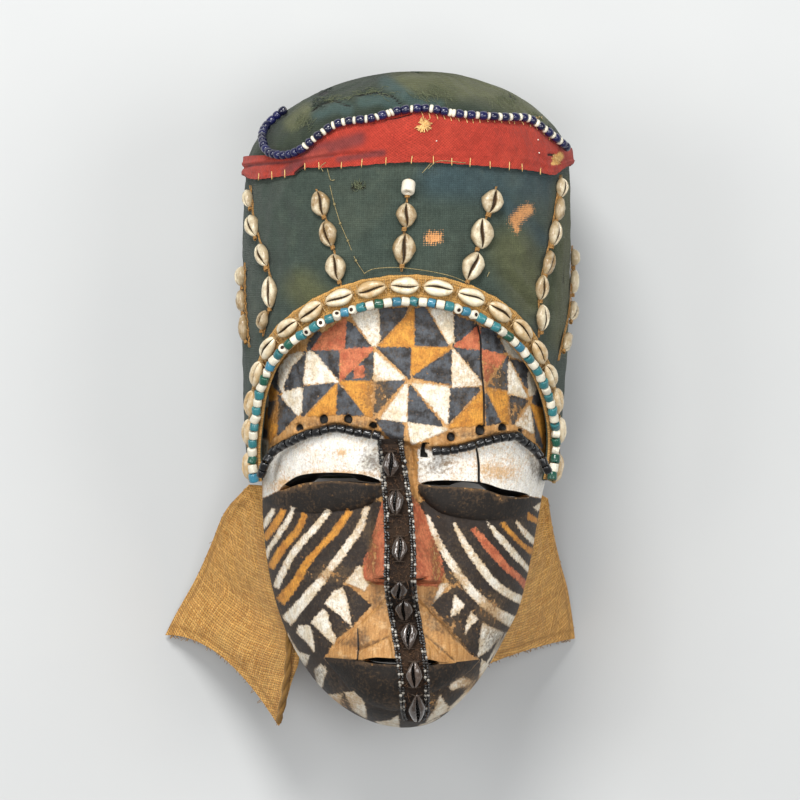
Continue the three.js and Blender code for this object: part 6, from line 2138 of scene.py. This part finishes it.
class MASK_OT_neck_cloths(bpy.types.Operator):
    """Build the two raffia cloths below the cheeks"""
    bl_idname = "mask.neck_cloths"
    bl_label = "Neck cloths"

    def execute(self, context):
        cloth = context.scene.mask_cloth
        marks = [("hem", "#a9783a", 0)]
        raffia = cloth_material("Plain-woven raffia, coarse", (linear("#eab768"), linear("#bd8440")),
                                1.25 * cloth.thread_pitch / mm, 0.12, "#a87c40", marks, gap=0.12)
        for side in neck_cloths:
            flap = neck_cloth_shape(side).piece("neck_flap_" + side, "raffia_cloth", [raffia],
                                                ["neck_cloth_" + side], crease=60)
            plain_grid(lambda s, t: cloth_at(neck_cloths[side], s, t), (0, 1), (0, 1))
        return {"FINISHED"}


# Stage

look_at = (-3.125, 0.0)
photo_width = 500
reference_height = 120
sensor = 36


world_light = 0.26
# Place and width of each lamp in metres, its power in watts and its tint
lamps = {"key": ((-0.3, 1.5, 2.0), 1.0, 45, (1, 0.985, 0.96)),
         "fill": ((1.5, 0.1, 1.9), 1.2, 18, (1, 1, 1)),
         "left": ((-1.5, 0.3, 1.8), 1.1, 17, (1, 1, 1)), "front": ((0.1, -0.2, 2.6), 0.9, 14, (1, 1, 1))}


def area_light(name, spot, aim, size, power, tint):
    data = bpy.data.lights.new(name, "AREA")
    data.shape, data.size, data.energy, data.color = "DISK", size, power, tint
    lamp = bpy.data.objects.new(name, data)
    lamp.location = spot
    ahead = Vector(aim) - Vector(spot)
    lamp.rotation_euler = ahead.to_track_quat("-Z", "Y").to_euler()
    bpy.context.scene.collection.objects.link(lamp)


class MASK_OT_stage(bpy.types.Operator):
    """Set the floor, the lights and the camera"""
    bl_idname = "mask.stage"
    bl_label = "Stage"

    def execute(self, context):
        stage = context.scene.mask_stage
        half = stage.floor_width / 2
        mesh = bpy.data.meshes.new("floor")
        mesh.from_pydata([(-half, -half, 0), (half, -half, 0), (half, half, 0), (-half, half, 0)], [],
                         [(0, 1, 2, 3)])
        mesh.materials.append(backdrop())
        floor = bpy.data.objects.new("floor", mesh)
        context.scene.collection.objects.link(floor)
        floor.location.z = -0.0005
        middle = place([*look_at, reference_height])
        camera = bpy.data.cameras.new("camera")
        camera.sensor_width = sensor
        camera.lens = sensor * (stage.camera_height - middle[2]) / (photo_width * mm)
        camera.clip_start, camera.clip_end = 0.1, 30
        eye = bpy.data.objects.new("camera", camera)
        eye.location = (middle[0], middle[1], stage.camera_height)
        context.scene.collection.objects.link(eye)
        context.scene.camera = eye
        aim = tuple(middle)
        for name, (spot, size, power, tint) in lamps.items():
            area_light(name, spot, aim, size, power, tint)
        world = bpy.data.worlds.new("studio")
        world.use_nodes = True
        world.node_tree.nodes["Background"].inputs["Color"].default_value = (1, 1, 1, 1)
        world.node_tree.nodes["Background"].inputs["Strength"].default_value = world_light
        context.scene.world = world
        context.scene.view_settings.view_transform = "Standard"
        return {"FINISHED"}


pieces = (MASK_OT_stage, MASK_OT_wooden_face, MASK_OT_hood, MASK_OT_red_band, MASK_OT_rim_beads,
          MASK_OT_arch, MASK_OT_shell_strings, MASK_OT_threads, MASK_OT_brow_beads, MASK_OT_nose_strip,
          MASK_OT_neck_cloths)
settings = {"mask_wood": WoodSettings, "mask_cloth": ClothSettings, "mask_beads": BeadSettings,
            "mask_shells": ShellSettings, "mask_stage": StageSettings}


class MASK_PT_panel(bpy.types.Panel):
    """Pieces and settings of the mask"""
    bl_idname = "MASK_PT_panel"
    bl_label = "Kuba mask"
    bl_space_type = "VIEW_3D"
    bl_region_type = "UI"
    bl_category = "Mask"

    def draw(self, context):
        for name in settings:
            group = getattr(context.scene, name)
            column = self.layout.column()
            for label in group.__annotations__:
                column.prop(group, label)
        for piece in pieces:
            self.layout.operator(piece.bl_idname)


def register():
    for made in (*settings.values(), *pieces, MASK_PT_panel):
        bpy.utils.register_class(made)
    for name, group in settings.items():
        setattr(bpy.types.Scene, name, PointerProperty(type=group))


def unregister():
    for name in settings:
        delattr(bpy.types.Scene, name)
    for made in reversed((*settings.values(), *pieces, MASK_PT_panel)):
        bpy.utils.unregister_class(made)


def main():
    register()
    for piece in pieces:
        group, name = piece.bl_idname.split(".")
        getattr(getattr(bpy.ops, group), name)()


if __name__ == "__main__":
    main()
